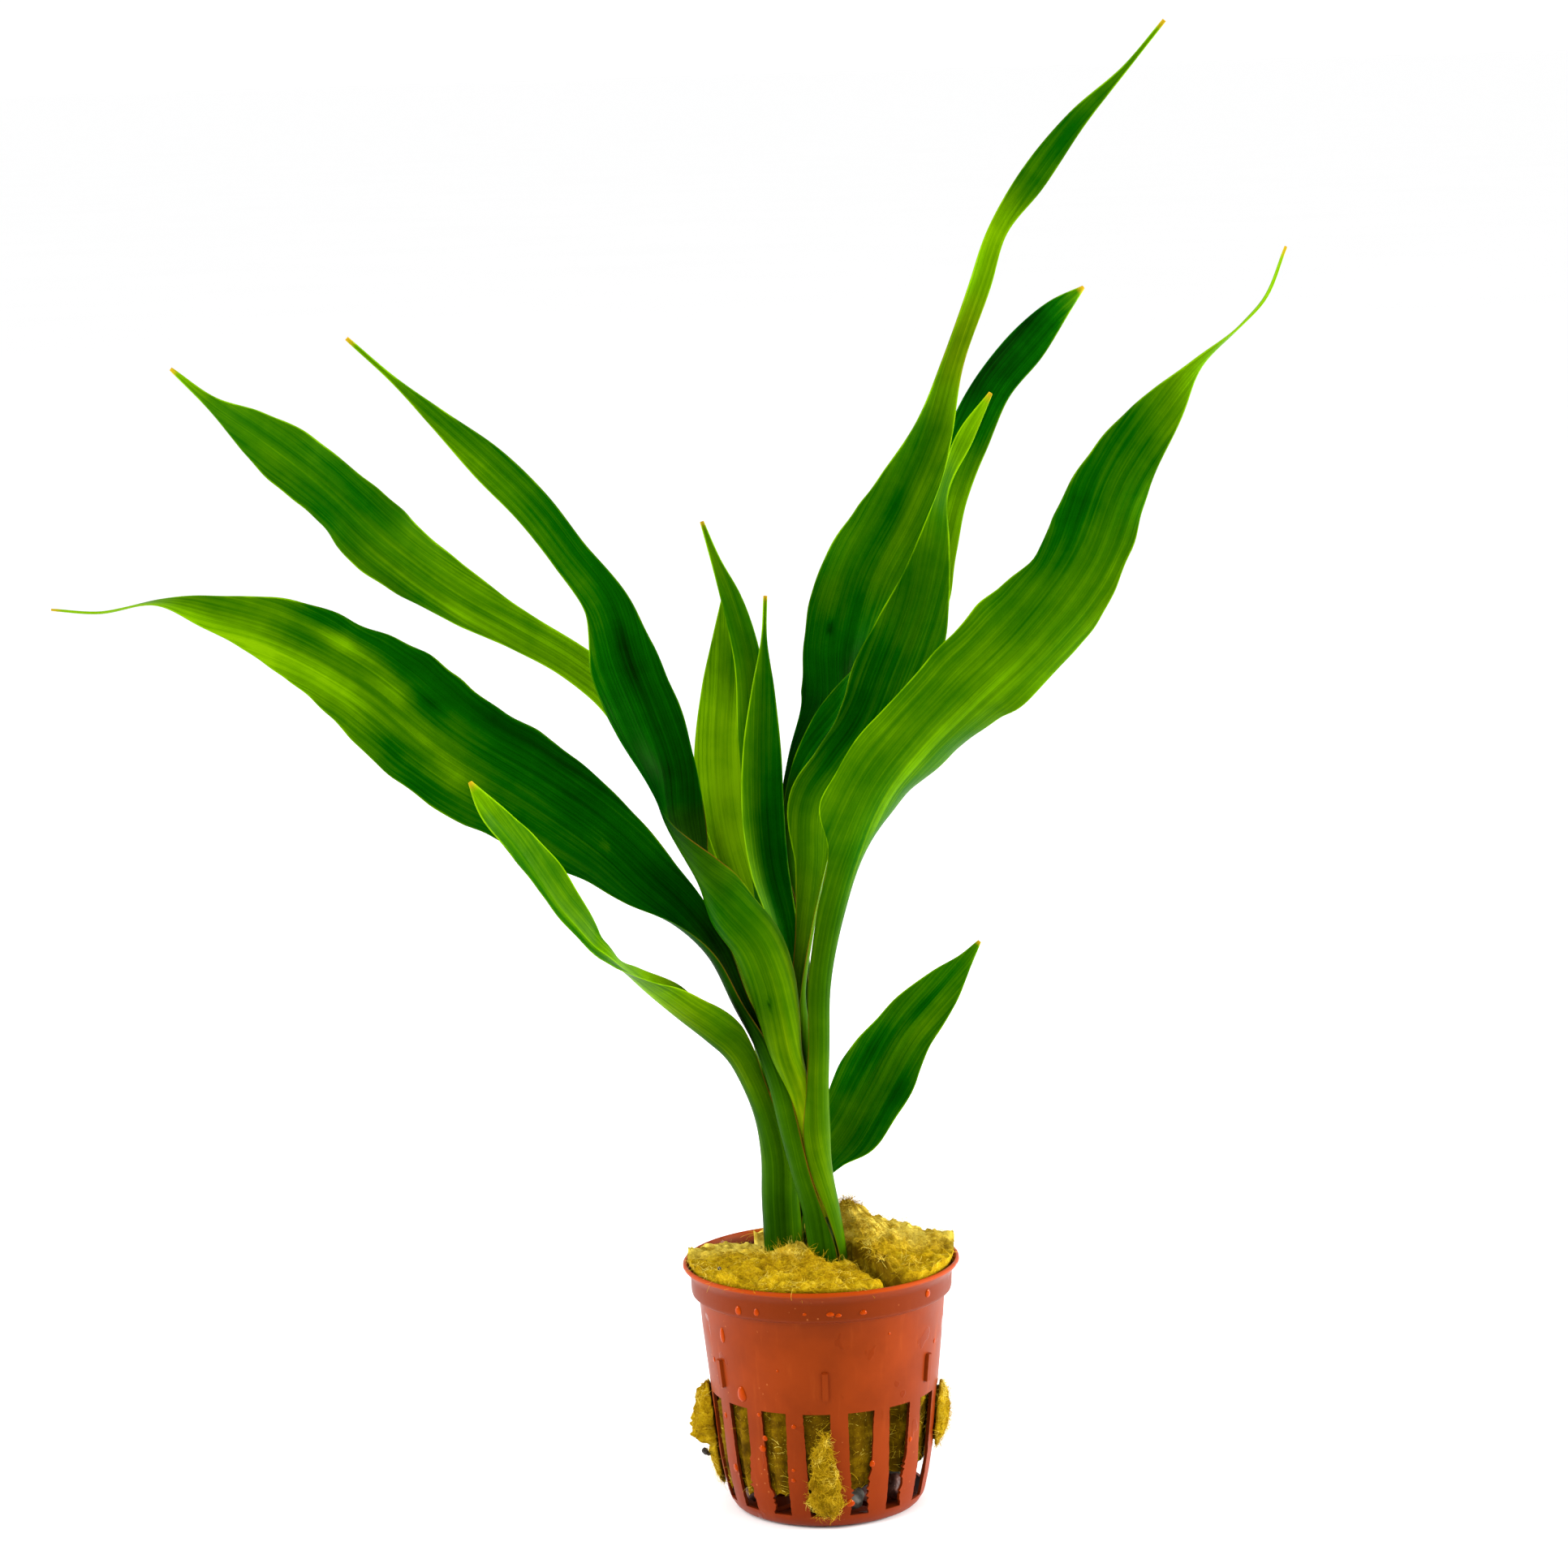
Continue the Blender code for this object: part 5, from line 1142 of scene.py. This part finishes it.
def cleft_distance(x, y):
    """How far in mm a place is from the tear between the two blocks."""
    spot = Vector((x, y, 0.0))
    gaps = []
    for start, end in zip(CLEFT, CLEFT[1:]):
        start, end = Vector((*start, 0.0)), Vector((*end, 0.0))
        share = held((spot - start).dot(end - start) / (end - start).length_squared)
        gaps.append((spot - start.lerp(end, share)).length)
    return min(gaps)


def torn_top(x, y, z, number):
    """Height in mm that torn wool has where its mound has z: clumps, pits and short ridges."""
    height = z + sum(lift * rough(x * stretch_x, y * stretch_y, 0.0, grain, seed)
                     for lift, grain, stretch_x, stretch_y, seed in TORN_LAYERS)
    depth, grain, seed, level = PITS
    height -= depth * max(0.0, rough(x, y, 0.0, grain, seed) - level)
    near = max(0.0, 1.0 - cleft_distance(x, y) / CLEFT_REACHES[number])
    height -= CLEFT_DEPTH * near * near
    for shoot in SHOOTS:
        middle = shoot_place(shoot, z)
        reach = held((WOOL_HOLE_EDGE - math.hypot(x - middle[0], y - middle[1])) / WOOL_HOLE_SLOPE)
        height -= WOOL_HOLE_DEPTH * reach * reach * (3.0 - 2.0 * reach)
    return height


def wool_side(x, y, level, number):
    """Point on the side of a block, drawn in where the wool is loose and pressed into the slots."""
    far = math.hypot(x, y)
    angle = math.atan2(y, x)
    along = angle * WOOL_ROUND
    back = (0.5 + 0.5 * math.cos(angle - WOOL_LOOSE_SIDE)) ** WOOL_LOOSE_POWER
    hang = WOOL_HANG * (1.0 - back) * (WOOL_HANG_LEAST + rough(along, 0.0, 0.0, *WOOL_HANG_NOISE))
    height = level - hang * max(0.0, 1.0 - (level - WOOL_BOTTOM) / WOOL_HANG_REACH)
    under_lip = held((WOOL_TIGHT_ABOVE - height) / WOOL_TIGHT_FADE)
    big, grain, seed = LOOSE_HOLLOWS
    loose = 0.5 + 0.5 * rough(along, height, 0.0, grain, number * seed)
    small, grain, seed = FINE_HOLLOWS
    fine = 0.5 + 0.5 * rough(along, height * FINE_STRETCH, 0.0, grain, number * seed)
    pull = (big * loose ** 2 + small * fine) * under_lip * back
    pitch = 2 * math.pi / SLOT_COUNT
    off_slot = (angle - slot_angle(0) + pitch / 2) % pitch - pitch / 2
    pressed = max(0.0, 1.0 - (off_slot * far / WOOL_SLOT_HALF) ** 2) * (1.0 - back)
    if SLOT_BOTTOM + WOOL_SLOT_END_GAPS[0] < height < SLOT_TOP - WOOL_SLOT_END_GAPS[1]:
        pull -= WOOL_IN_SLOT * pressed
    direction, reach, depth = WOOL_HOLLOW
    off_hollow = (math.degrees(angle) % 360.0 - direction) / reach
    pull += depth * math.exp(-off_hollow * off_hollow) * under_lip
    if height < WOOL_LIP_HEIGHT:
        torn = held((wall_room(height) - far - TORN_FACE_GAP) / TORN_EDGE_FADE)
        pull += torn * sum(lift * rough(x, y, height, *noise_kind) for lift, *noise_kind in TORN_FACE_LAYERS)
    share = min(1.0, wall_room(height) / far) * (1.0 - pull / far)
    return (x * share, y * share, height)


def wool_top(edge, middle, number):
    """Points of a block's mound in mm, ring by ring from its edge inwards."""
    points = []
    for k in range(WOOL_TOP_RINGS):
        share = 1.0 - (k / WOOL_TOP_RINGS) ** WOOL_RING_CROWDING
        for x, y, top in edge:
            z = top + (middle[2] - top) * (1.0 - share) ** WOOL_MOUND
            inside = held((TORN_EDGE_RADIUS - math.hypot(x, y)) / TORN_EDGE_FADE)
            wander = (WANDER * min(1.0, WANDER_GROWTH * (1.0 - share) + WANDER_AT_EDGE)
                      + TORN_EDGE_WANDER * inside * share ** TORN_EDGE_POWER)
            spot_x, spot_y = (centre + (side - centre) * share + wander * rough(x, y, z, WANDER_GRAIN, seed)
                              for centre, side, seed in zip(middle, (x, y), WANDER_SEEDS))
            if k == 0:
                room = wall_room(z) if z < WOOL_LIP_HEIGHT else WOOL_LIP_RADIUS
                fit = min(1.0, room / math.hypot(spot_x, spot_y))
                spot_x, spot_y = spot_x * fit, spot_y * fit
            points.append((spot_x, spot_y, torn_top(spot_x, spot_y, z, number)))
    return points


def wool_block(name, outline, middle, number):
    """One torn half of the rockwool: its side follows the pot, and its top is a rough mound."""
    edge = closed_outline(outline, WOOL_STEPS)
    side_heights = np.arange(WOOL_BOTTOM, WOOL_SIDE_TOP, WOOL_SIDE_STEP)
    points = [wool_side(x, y, height, number) for height in side_heights for x, y, _ in edge]
    points += wool_top(edge, middle, number)
    points.append((middle[0], middle[1], torn_top(*middle, number)))
    points.append((middle[0], middle[1], WOOL_BOTTOM))
    last, under = len(points) - 2, len(points) - 1
    rows = len(side_heights) + WOOL_TOP_RINGS
    faces = []
    for i in range(WOOL_STEPS):
        j = (i + 1) % WOOL_STEPS
        for row in range(rows - 1):
            low, high = row * WOOL_STEPS, (row + 1) * WOOL_STEPS
            faces.append((low + i, low + j, high + j, high + i))
        faces.append(((rows - 1) * WOOL_STEPS + i, (rows - 1) * WOOL_STEPS + j, last))
        faces.append((j, i, under))
    mesh = mesh_from_arrays(name, np.array(points) * MM, faces)
    # Painted shade near the tear, kept as a number on each point.
    reach = CLEFT_SHADE_REACHES[number]
    cleft_shade = [max(0.0, 1.0 - cleft_distance(x, y) / reach) for x, y, _ in points]
    write_numbers(mesh, "cleft_shade", np.array(cleft_shade))
    return mesh


def tuft_faces():
    """Faces between the outer and the inner skin of a tuft, ring by ring, closed on all sides."""
    across = TUFT_ACROSS + 1
    row = 2 * across
    faces = []
    for k in range(TUFT_RINGS):
        for j in range(TUFT_ACROSS):
            a = k * row + j
            b = a + across
            faces.append((a, a + 1, a + row + 1, a + row))
            faces.append((b, b + row, b + row + 1, b + 1))
        for j in (0, TUFT_ACROSS):
            a = k * row + j
            faces.append((a, a + row, a + row + across, a + across))
    for k in (0, TUFT_RINGS):
        for j in range(TUFT_ACROSS):
            a = k * row + j
            faces.append((a, a + across, a + across + 1, a + 1))
    return faces


def tuft_points(slot, shift, rows, seed):
    """Points in mm of wool that swells out through a slot: an outer skin, and an inner one with a neck."""
    levels, spreads, stands = zip(*rows)
    low, high = levels[0], levels[-1]
    points = []
    for k in range(TUFT_RINGS + 1):
        level = low + (high - low) * k / TUFT_RINGS
        share, grain = TUFT_WIDTH_NOISE
        spread = float(np.interp(level, levels, spreads))
        spread *= 1.0 + share * rough(0.0, 0.0, level, grain, seed)
        stand_off = float(np.interp(level, levels, stands))
        for inner, j in itertools.product((0, 1), range(TUFT_ACROSS + 1)):
            turn = 2.0 * j / TUFT_ACROSS - 1.0
            sway, grain = TUFT_LEAN_NOISE
            lean = shift + sway * rough(turn, 0.0, level, grain, seed)
            rise = TUFT_ROW_NOISE * rough(turn * 3.0, level / 8.0, 0.0, 1.0, seed + 3.0)
            height = level + rise * (1.0 - inner)
            wall = pot_radius(height) + TUFT_WALL_ROOM
            aside = turn * spread * (TUFT_INNER_WIDTH if inner else 1.0) + lean
            if inner:
                in_neck = (abs(aside) < TUFT_NECK_HALF and height < SLOT_TOP - TUFT_NECK_TOP_GAP
                           and TUFT_NECK_INSET < height - low < high - low - TUFT_NECK_INSET)
                radius = TUFT_NECK_INNER if in_neck else wall
            else:
                clump = sum(lift * rough(aside * across, height * up, 0.0, grain, seed)
                            for lift, across, up, grain in TUFT_CLUMPS)
                bulge = TUFT_EDGE + stand_off * math.sqrt(max(0.0, 1.0 - turn * turn))
                radius = wall + bulge * (1.0 + TUFT_CLUMP_SHARE * clump) + TUFT_CLUMP_HEIGHT * clump
            angle = slot_angle(slot) + aside / wall
            points.append((radius * math.cos(angle), radius * math.sin(angle), height))
    return points


def build_tufts(name, tufts, number, material):
    """All tufts of a block as one piece."""
    points, faces = [], []
    for k, tuft in enumerate(tufts):
        start = len(points)
        points += tuft_points(*tuft, seed=6.0 * k + 2.0 * number)
        faces += [tuple(index + start for index in face) for face in tuft_faces()]
    work = bmesh.new()
    work.from_mesh(mesh_from_arrays(name, np.array(points) * MM, faces))
    tuft_piece = new_piece(name, mesh_from_bmesh(name, work), material)
    stand_for(tuft_piece, "rockwool")
    return tuft_piece


def wool_material():
    """Mineral wool: a felt of straw-coloured fibres, darker and greener where wet, with painted shade deep
    down behind the wall and in the tear, painted light on top at the back, and darker low at the front.
    """
    look = Shading("rockwool")
    place = look.place()
    x, y, z = look.split(place)
    turned = look.noise(place, 260.0, detail=2.0)
    threads, crossing = (look.noise(look.scaled(place, stretch), fineness, detail=4.0, roughness=0.7,
                                    distortion=bent) for stretch, fineness, bent in WOOL_THREADS)
    clumps = look.noise(place, 330.0, detail=5.0, roughness=0.65)
    weave = look.math("MAXIMUM", threads, crossing)
    felt = look.ramp(look.total(look.times(clumps, 0.5), look.times(weave, 0.5)), WOOL_OPEN)
    wet = look.span(look.noise(place, 120.0), 0.52, 0.68)
    away = look.math("SQRT", look.total(look.times(x, x), look.times(y, y)))
    # Painted shade on wool deep in the pot, behind the wall.
    inside = look.times(look.fall(z, 0.036, 0.050), look.fall(away, 0.0250, 0.0258))
    behind = look.fall(look.total(away, look.times(z, -0.101)), 0.0206, 0.0214)
    # Painted light on the top of the back block.
    lit_back = look.times(look.span(y, -0.006, 0.006), look.span(z, 0.046, 0.051))
    # Painted shade in the tear.
    cleft_shade = look.times(look.attribute("cleft_shade", "Fac"), look.span(clumps, 0.35, 0.6, 1.5, 0.8))
    # Darker low down on the outer wool towards the front.
    low_front_dark = look.times(look.fall(z, 0.026, 0.030), look.span(y, -0.022, -0.006, 0.6, 0.25))
    colour = look.laid_over(felt, (look.times(wet, 0.5), WOOL_WET),
                            # painted shade behind the wall
                            (look.times(inside, behind), look.ramp(clumps, WOOL_SHADE_BEHIND_WALL)),
                            (look.times(lit_back, look.span(clumps, 0.35, 0.6, 0.1, 0.7)), WOOL_LIT_BACK),
                            (look.math("MINIMUM", cleft_shade, 0.85), WOOL_CLEFT_SHADE),
                            (look.times(low_front_dark, look.span(away, 0.0195, 0.0215)), WOOL_LOW_FRONT_DARK))
    look.set(Base_Color=colour, Roughness=look.span(turned, 0.3, 0.7, 0.75, 0.95), Specular_IOR_Level=0.03)
    look.bump(look.total(look.times(weave, 1.0), look.times(clumps, 1.2)), 0.8, 0.0005)
    return look.material


def fibre_material():
    look = Shading("rockwool fibre")
    shade = look.noise(look.place(), 240.0)
    look.set(Base_Color=look.ramp(shade, WOOL_FIBRE), Roughness=look.span(shade, 0.3, 0.7, 0.5, 0.7),
             Specular_IOR_Level=0.06)
    return look.material


def add_fibre(points, faces, root, heading, rise, length, radius, dice):
    """Thin bent thread with three sides, from root along heading, in mm."""
    heading = heading.normalized()
    up = Vector(rise).normalized()
    aside = heading.cross(up)
    if aside.length < 0.05:
        aside = heading.orthogonal()
    aside.normalize()
    bend = dice.uniform(-FIBRE_BEND, FIBRE_BEND)
    arch = dice.uniform(*FIBRE_ARCHES)
    start = len(points)
    for k in range(FIBRE_STEPS + 1):
        share = k / FIBRE_STEPS
        spot = (root + heading * (length * share) + aside * (length * bend * share * share)
                + up * (length * arch * math.sin(math.pi * share * 0.85)))
        thin = radius * (1.0 - 0.5 * share)
        for side in range(3):
            turn = 2 * math.pi * side / 3
            points.append(spot + aside * (thin * math.cos(turn)) + up * (thin * math.sin(turn)))
    for k in range(FIBRE_STEPS):
        for side in range(3):
            a = start + 3 * k + side
            b = start + 3 * k + (side + 1) % 3
            faces.append((a, b, b + 3, a + 3))
    faces.append((start + 2, start + 1, start))
    end = start + 3 * FIBRE_STEPS
    faces.append((end, end + 1, end + 2))


def add_fibres(name, source, settings, number, count, keep, material):
    """Fibres that lie on a piece: rooted at its points, in random directions near its surface."""
    _, lengths, stand, seed = settings
    dice = random.Random(seed + number)
    chosen = [vert for vert in source.data.vertices if keep(vert.co / MM)]
    points, faces = [], []
    for _ in range(count):
        vert = dice.choice(chosen)
        normal = Vector(vert.normal)
        spin = Vector((dice.gauss(0, 1), dice.gauss(0, 1), dice.gauss(0, 0.6)))
        flat = spin - normal * spin.dot(normal)
        if flat.length < 0.1:
            continue
        heading = flat.normalized() + normal * dice.uniform(*stand)
        radius = dice.uniform(*FIBRE_RADII)
        add_fibre(points, faces, vert.co / MM - normal * FIBRE_ROOT, heading, normal, dice.uniform(*lengths),
                  radius, dice)
    mesh = mesh_from_arrays(name, np.array([tuple(point) for point in points]) * MM, faces)
    stand_for(new_piece(name, mesh, material), "rockwool")


def on_open_top(spot):
    """Whether a place on the wool is on its top, off the shoots and off the tear."""
    if spot.z <= WOOL_SIDE_TOP:
        return False
    for shoot in SHOOTS:
        middle = shoot_place(shoot, spot.z)
        if math.hypot(spot.x - middle[0], spot.y - middle[1]) < FIBRE_SHOOT_ROOM:
            return False
    return cleft_distance(spot.x, spot.y) > FIBRE_CLEFT_ROOM


def outside_wall(spot):
    return math.hypot(spot.x, spot.y) > pot_radius(spot.z) + FIBRE_WALL_ROOM


def low_on_side(spot):
    return spot.z < FIBRE_SIDE_TOP and math.hypot(spot.x, spot.y) > FIBRE_SIDE_RADIUS


def build_wool(wool, fibre):
    for number, (name, outline, middle, tufts) in enumerate(WOOL_BLOCKS):
        block = new_piece(name + "_felt", wool_block(name, outline, middle, number), wool)
        stand_for(block, "rockwool", name)
        add_fibres(name + "_fibres", block, TOP_FIBRES, number, TOP_FIBRES[0], on_open_top, fibre)
        lumps = build_tufts(name + "_tufts", tufts, number, wool)
        add_fibres(name + "_tuft_fibres", lumps, TUFT_FIBRES, number, TUFT_FIBRES[0] * len(tufts),
                   outside_wall, fibre)
        add_fibres(name + "_side_fibres", block, SIDE_FIBRES, number, SIDE_FIBRES[0], low_on_side, fibre)


def stone_material(name, dark, light, speck):
    look = Shading(name)
    clouds = look.noise(look.place(), 380.0, detail=5.0, roughness=0.6)
    grains = look.fall(look.cells(look.place(), 1500.0), 0.12, 0.2)
    colour = look.mix(look.times(grains, 0.6), look.mix(look.span(clouds, 0.36, 0.64), dark, light), speck)
    look.set(Base_Color=colour, Roughness=look.span(clouds, 0.3, 0.7, 0.45, 0.75))
    look.bump(look.total(clouds, look.times(grains, 0.4)), 0.5, 0.0003)
    return look.material


def build_pebble(number, place, material, slot):
    x, y, across, up, turn = place
    size = Vector((across, across * PEBBLE_NARROWING, up))
    work = bmesh.new()
    bmesh.ops.create_icosphere(work, subdivisions=5, radius=1.0)
    shift = Vector((number * 7.0, 0.0, 0.0))
    for vert in work.verts:
        dent, pits, grain = (depth * noise.noise(vert.co * turns + shift) for depth, turns in PEBBLE_DENTS)
        vert.co = vert.co * size * (1.0 + dent) * (1.0 + pits + grain) * MM
    lowest = min(vert.co.z for vert in work.verts)
    bmesh.ops.rotate(work, verts=work.verts, matrix=Matrix.Rotation(math.radians(turn), 3, "Z"))
    bmesh.ops.translate(work, verts=work.verts, vec=(x * MM, y * MM, PEBBLE_SEAT * MM - lowest))
    pebble = new_piece(f"pebble_{number}_stone", mesh_from_bmesh("pebble", work), material)
    stand_for(pebble, slot, f"pebble_{number}")


def grit_material():
    look = Shading("black grit")
    shade = look.noise(look.place(), 2500.0)
    look.set(Base_Color=look.mix(shade, *GRIT_COLOURS), Roughness=0.6)
    look.bump(shade, 0.6, 0.0002)
    return look.material


def build_grit(material):
    """A few crumbs of black grit caught in the wool."""
    work = bmesh.new()
    for number, (angle, height, distance, size) in enumerate(GRIT):
        made = bmesh.ops.create_icosphere(work, subdivisions=3, radius=size * MM)["verts"]
        turn = math.radians(angle)
        middle = Vector((distance * math.cos(turn), distance * math.sin(turn), height)) * MM
        for vert in made:
            depth, turns = GRIT_DENTS
            dent = 1.0 + depth * noise.noise(vert.co / MM * turns + Vector((number * 3.0, 0.0, 0.0)))
            vert.co = vert.co * dent + middle
    stand_for(new_piece("grit", mesh_from_bmesh("grit", work), material), "rockwool")


def cane_material():
    look = Shading("young cane")
    rings = look.noise(look.scaled(look.place(), (0.1, 0.1, 1.0)), 500.0, detail=2.0)
    streaks = look.noise(look.scaled(look.place(), (1.0, 1.0, 0.08)), 1100.0)
    shade = look.total(look.times(rings, 0.5), look.times(streaks, 0.5))
    look.set(Base_Color=look.ramp(shade, CANE), Roughness=look.span(streaks, 0.3, 0.7, 0.38, 0.55))
    look.bump(shade, 0.3, 0.0003)
    return look.material


def dress_node(name, material):
    """CAD node kept in view with a better material."""
    node = frame["nodes"][name]
    for slot in node.material_slots:
        slot.material = material


def aim(place, target):
    return (Vector(target) - Vector(place)).to_track_quat("-Z", "Y").to_euler()


def add_light(name, place, target, size, power):
    lamp = bpy.data.lights.new(name, "AREA")
    lamp.shape = "DISK"
    lamp.size = size
    lamp.energy = power
    light = bpy.data.objects.new(name, lamp)
    light.location = place
    light.rotation_euler = aim(place, target)
    bpy.context.scene.collection.objects.link(light)


def floor_material():
    look = Shading("pale studio floor")
    cloud = look.noise(look.place(), 3.0, detail=2.0)
    look.set(Base_Color=look.mix(cloud, *FLOOR_COLOURS), Roughness=0.9, Specular_IOR_Level=0.1)
    return look.material


def build_studio():
    """Pale floor, an even pale surround and soft lights, the strongest from the upper left in front."""
    mesh = bpy.data.meshes.new("floor")
    half = FLOOR_SIZE / 2
    corners = [(-half, -half, 0), (half, -half, 0), (half, half, 0), (-half, half, 0)]
    mesh.from_pydata(corners, [], [(0, 1, 2, 3)])
    floor = bpy.data.objects.new("floor", mesh)
    floor.location.z = -FLOOR_DROP
    mesh.materials.append(floor_material())
    bpy.context.scene.collection.objects.link(floor)
    world = bpy.data.worlds.new("pale surround")
    bpy.context.scene.world = world
    world.use_nodes = True
    background = world.node_tree.nodes["Background"]
    background.inputs["Color"].default_value = (1.0, 1.0, 1.0, 1.0)
    background.inputs["Strength"].default_value = SURROUND_STRENGTH
    for light in LIGHTS:
        add_light(*light)


def build_camera():
    pitch = math.radians(CAMERA_PITCH)
    roll = math.radians(CAMERA_ROLL)
    forward = Vector((0.0, math.cos(pitch), -math.sin(pitch)))
    right = Vector((1.0, 0.0, 0.0))
    up = right.cross(forward)
    turned_right = right * math.cos(roll) - up * math.sin(roll)
    turned_up = up * math.cos(roll) + right * math.sin(roll)
    data = bpy.data.cameras.new("photo view")
    data.lens = CAMERA_LENS
    data.sensor_width = 36.0
    data.sensor_fit = "HORIZONTAL"
    camera = bpy.data.objects.new("photo view", data)
    turn = Matrix((turned_right, turned_up, -forward)).transposed()
    camera.matrix_world = Matrix.Translation(CAMERA_PLACE) @ turn.to_4x4()
    bpy.context.scene.collection.objects.link(camera)
    bpy.context.scene.camera = camera


bpy.context.scene.view_settings.view_transform = "Standard"
leaf_look = leaf_material()
for leaf_number, leaf_name in enumerate(LEAVES):
    build_leaf(leaf_name, leaf_number, leaf_look)
terracotta = pot_material()
build_pot(terracotta)
build_fins(terracotta)
build_drops(drop_material())
build_wool(wool_material(), fibre_material())
build_grit(grit_material())
# The pale stone carries painted shade of the pot's inside.
stones = [(stone_material("pale stone", *PALE_STONE_IN_SHADE), "pale_pebble"),
          (stone_material("reddish stone", *REDDISH_STONE), "reddish_pebble")]
for pebble_number, pebble_place in enumerate(PEBBLES, start=1):
    stone, stone_slot = stones[pebble_number % 2]
    build_pebble(pebble_number, pebble_place, stone, stone_slot)
cane_look = cane_material()
for cane in ("cane_right", "cane_left"):
    dress_node(cane, cane_look)
build_studio()
build_camera()
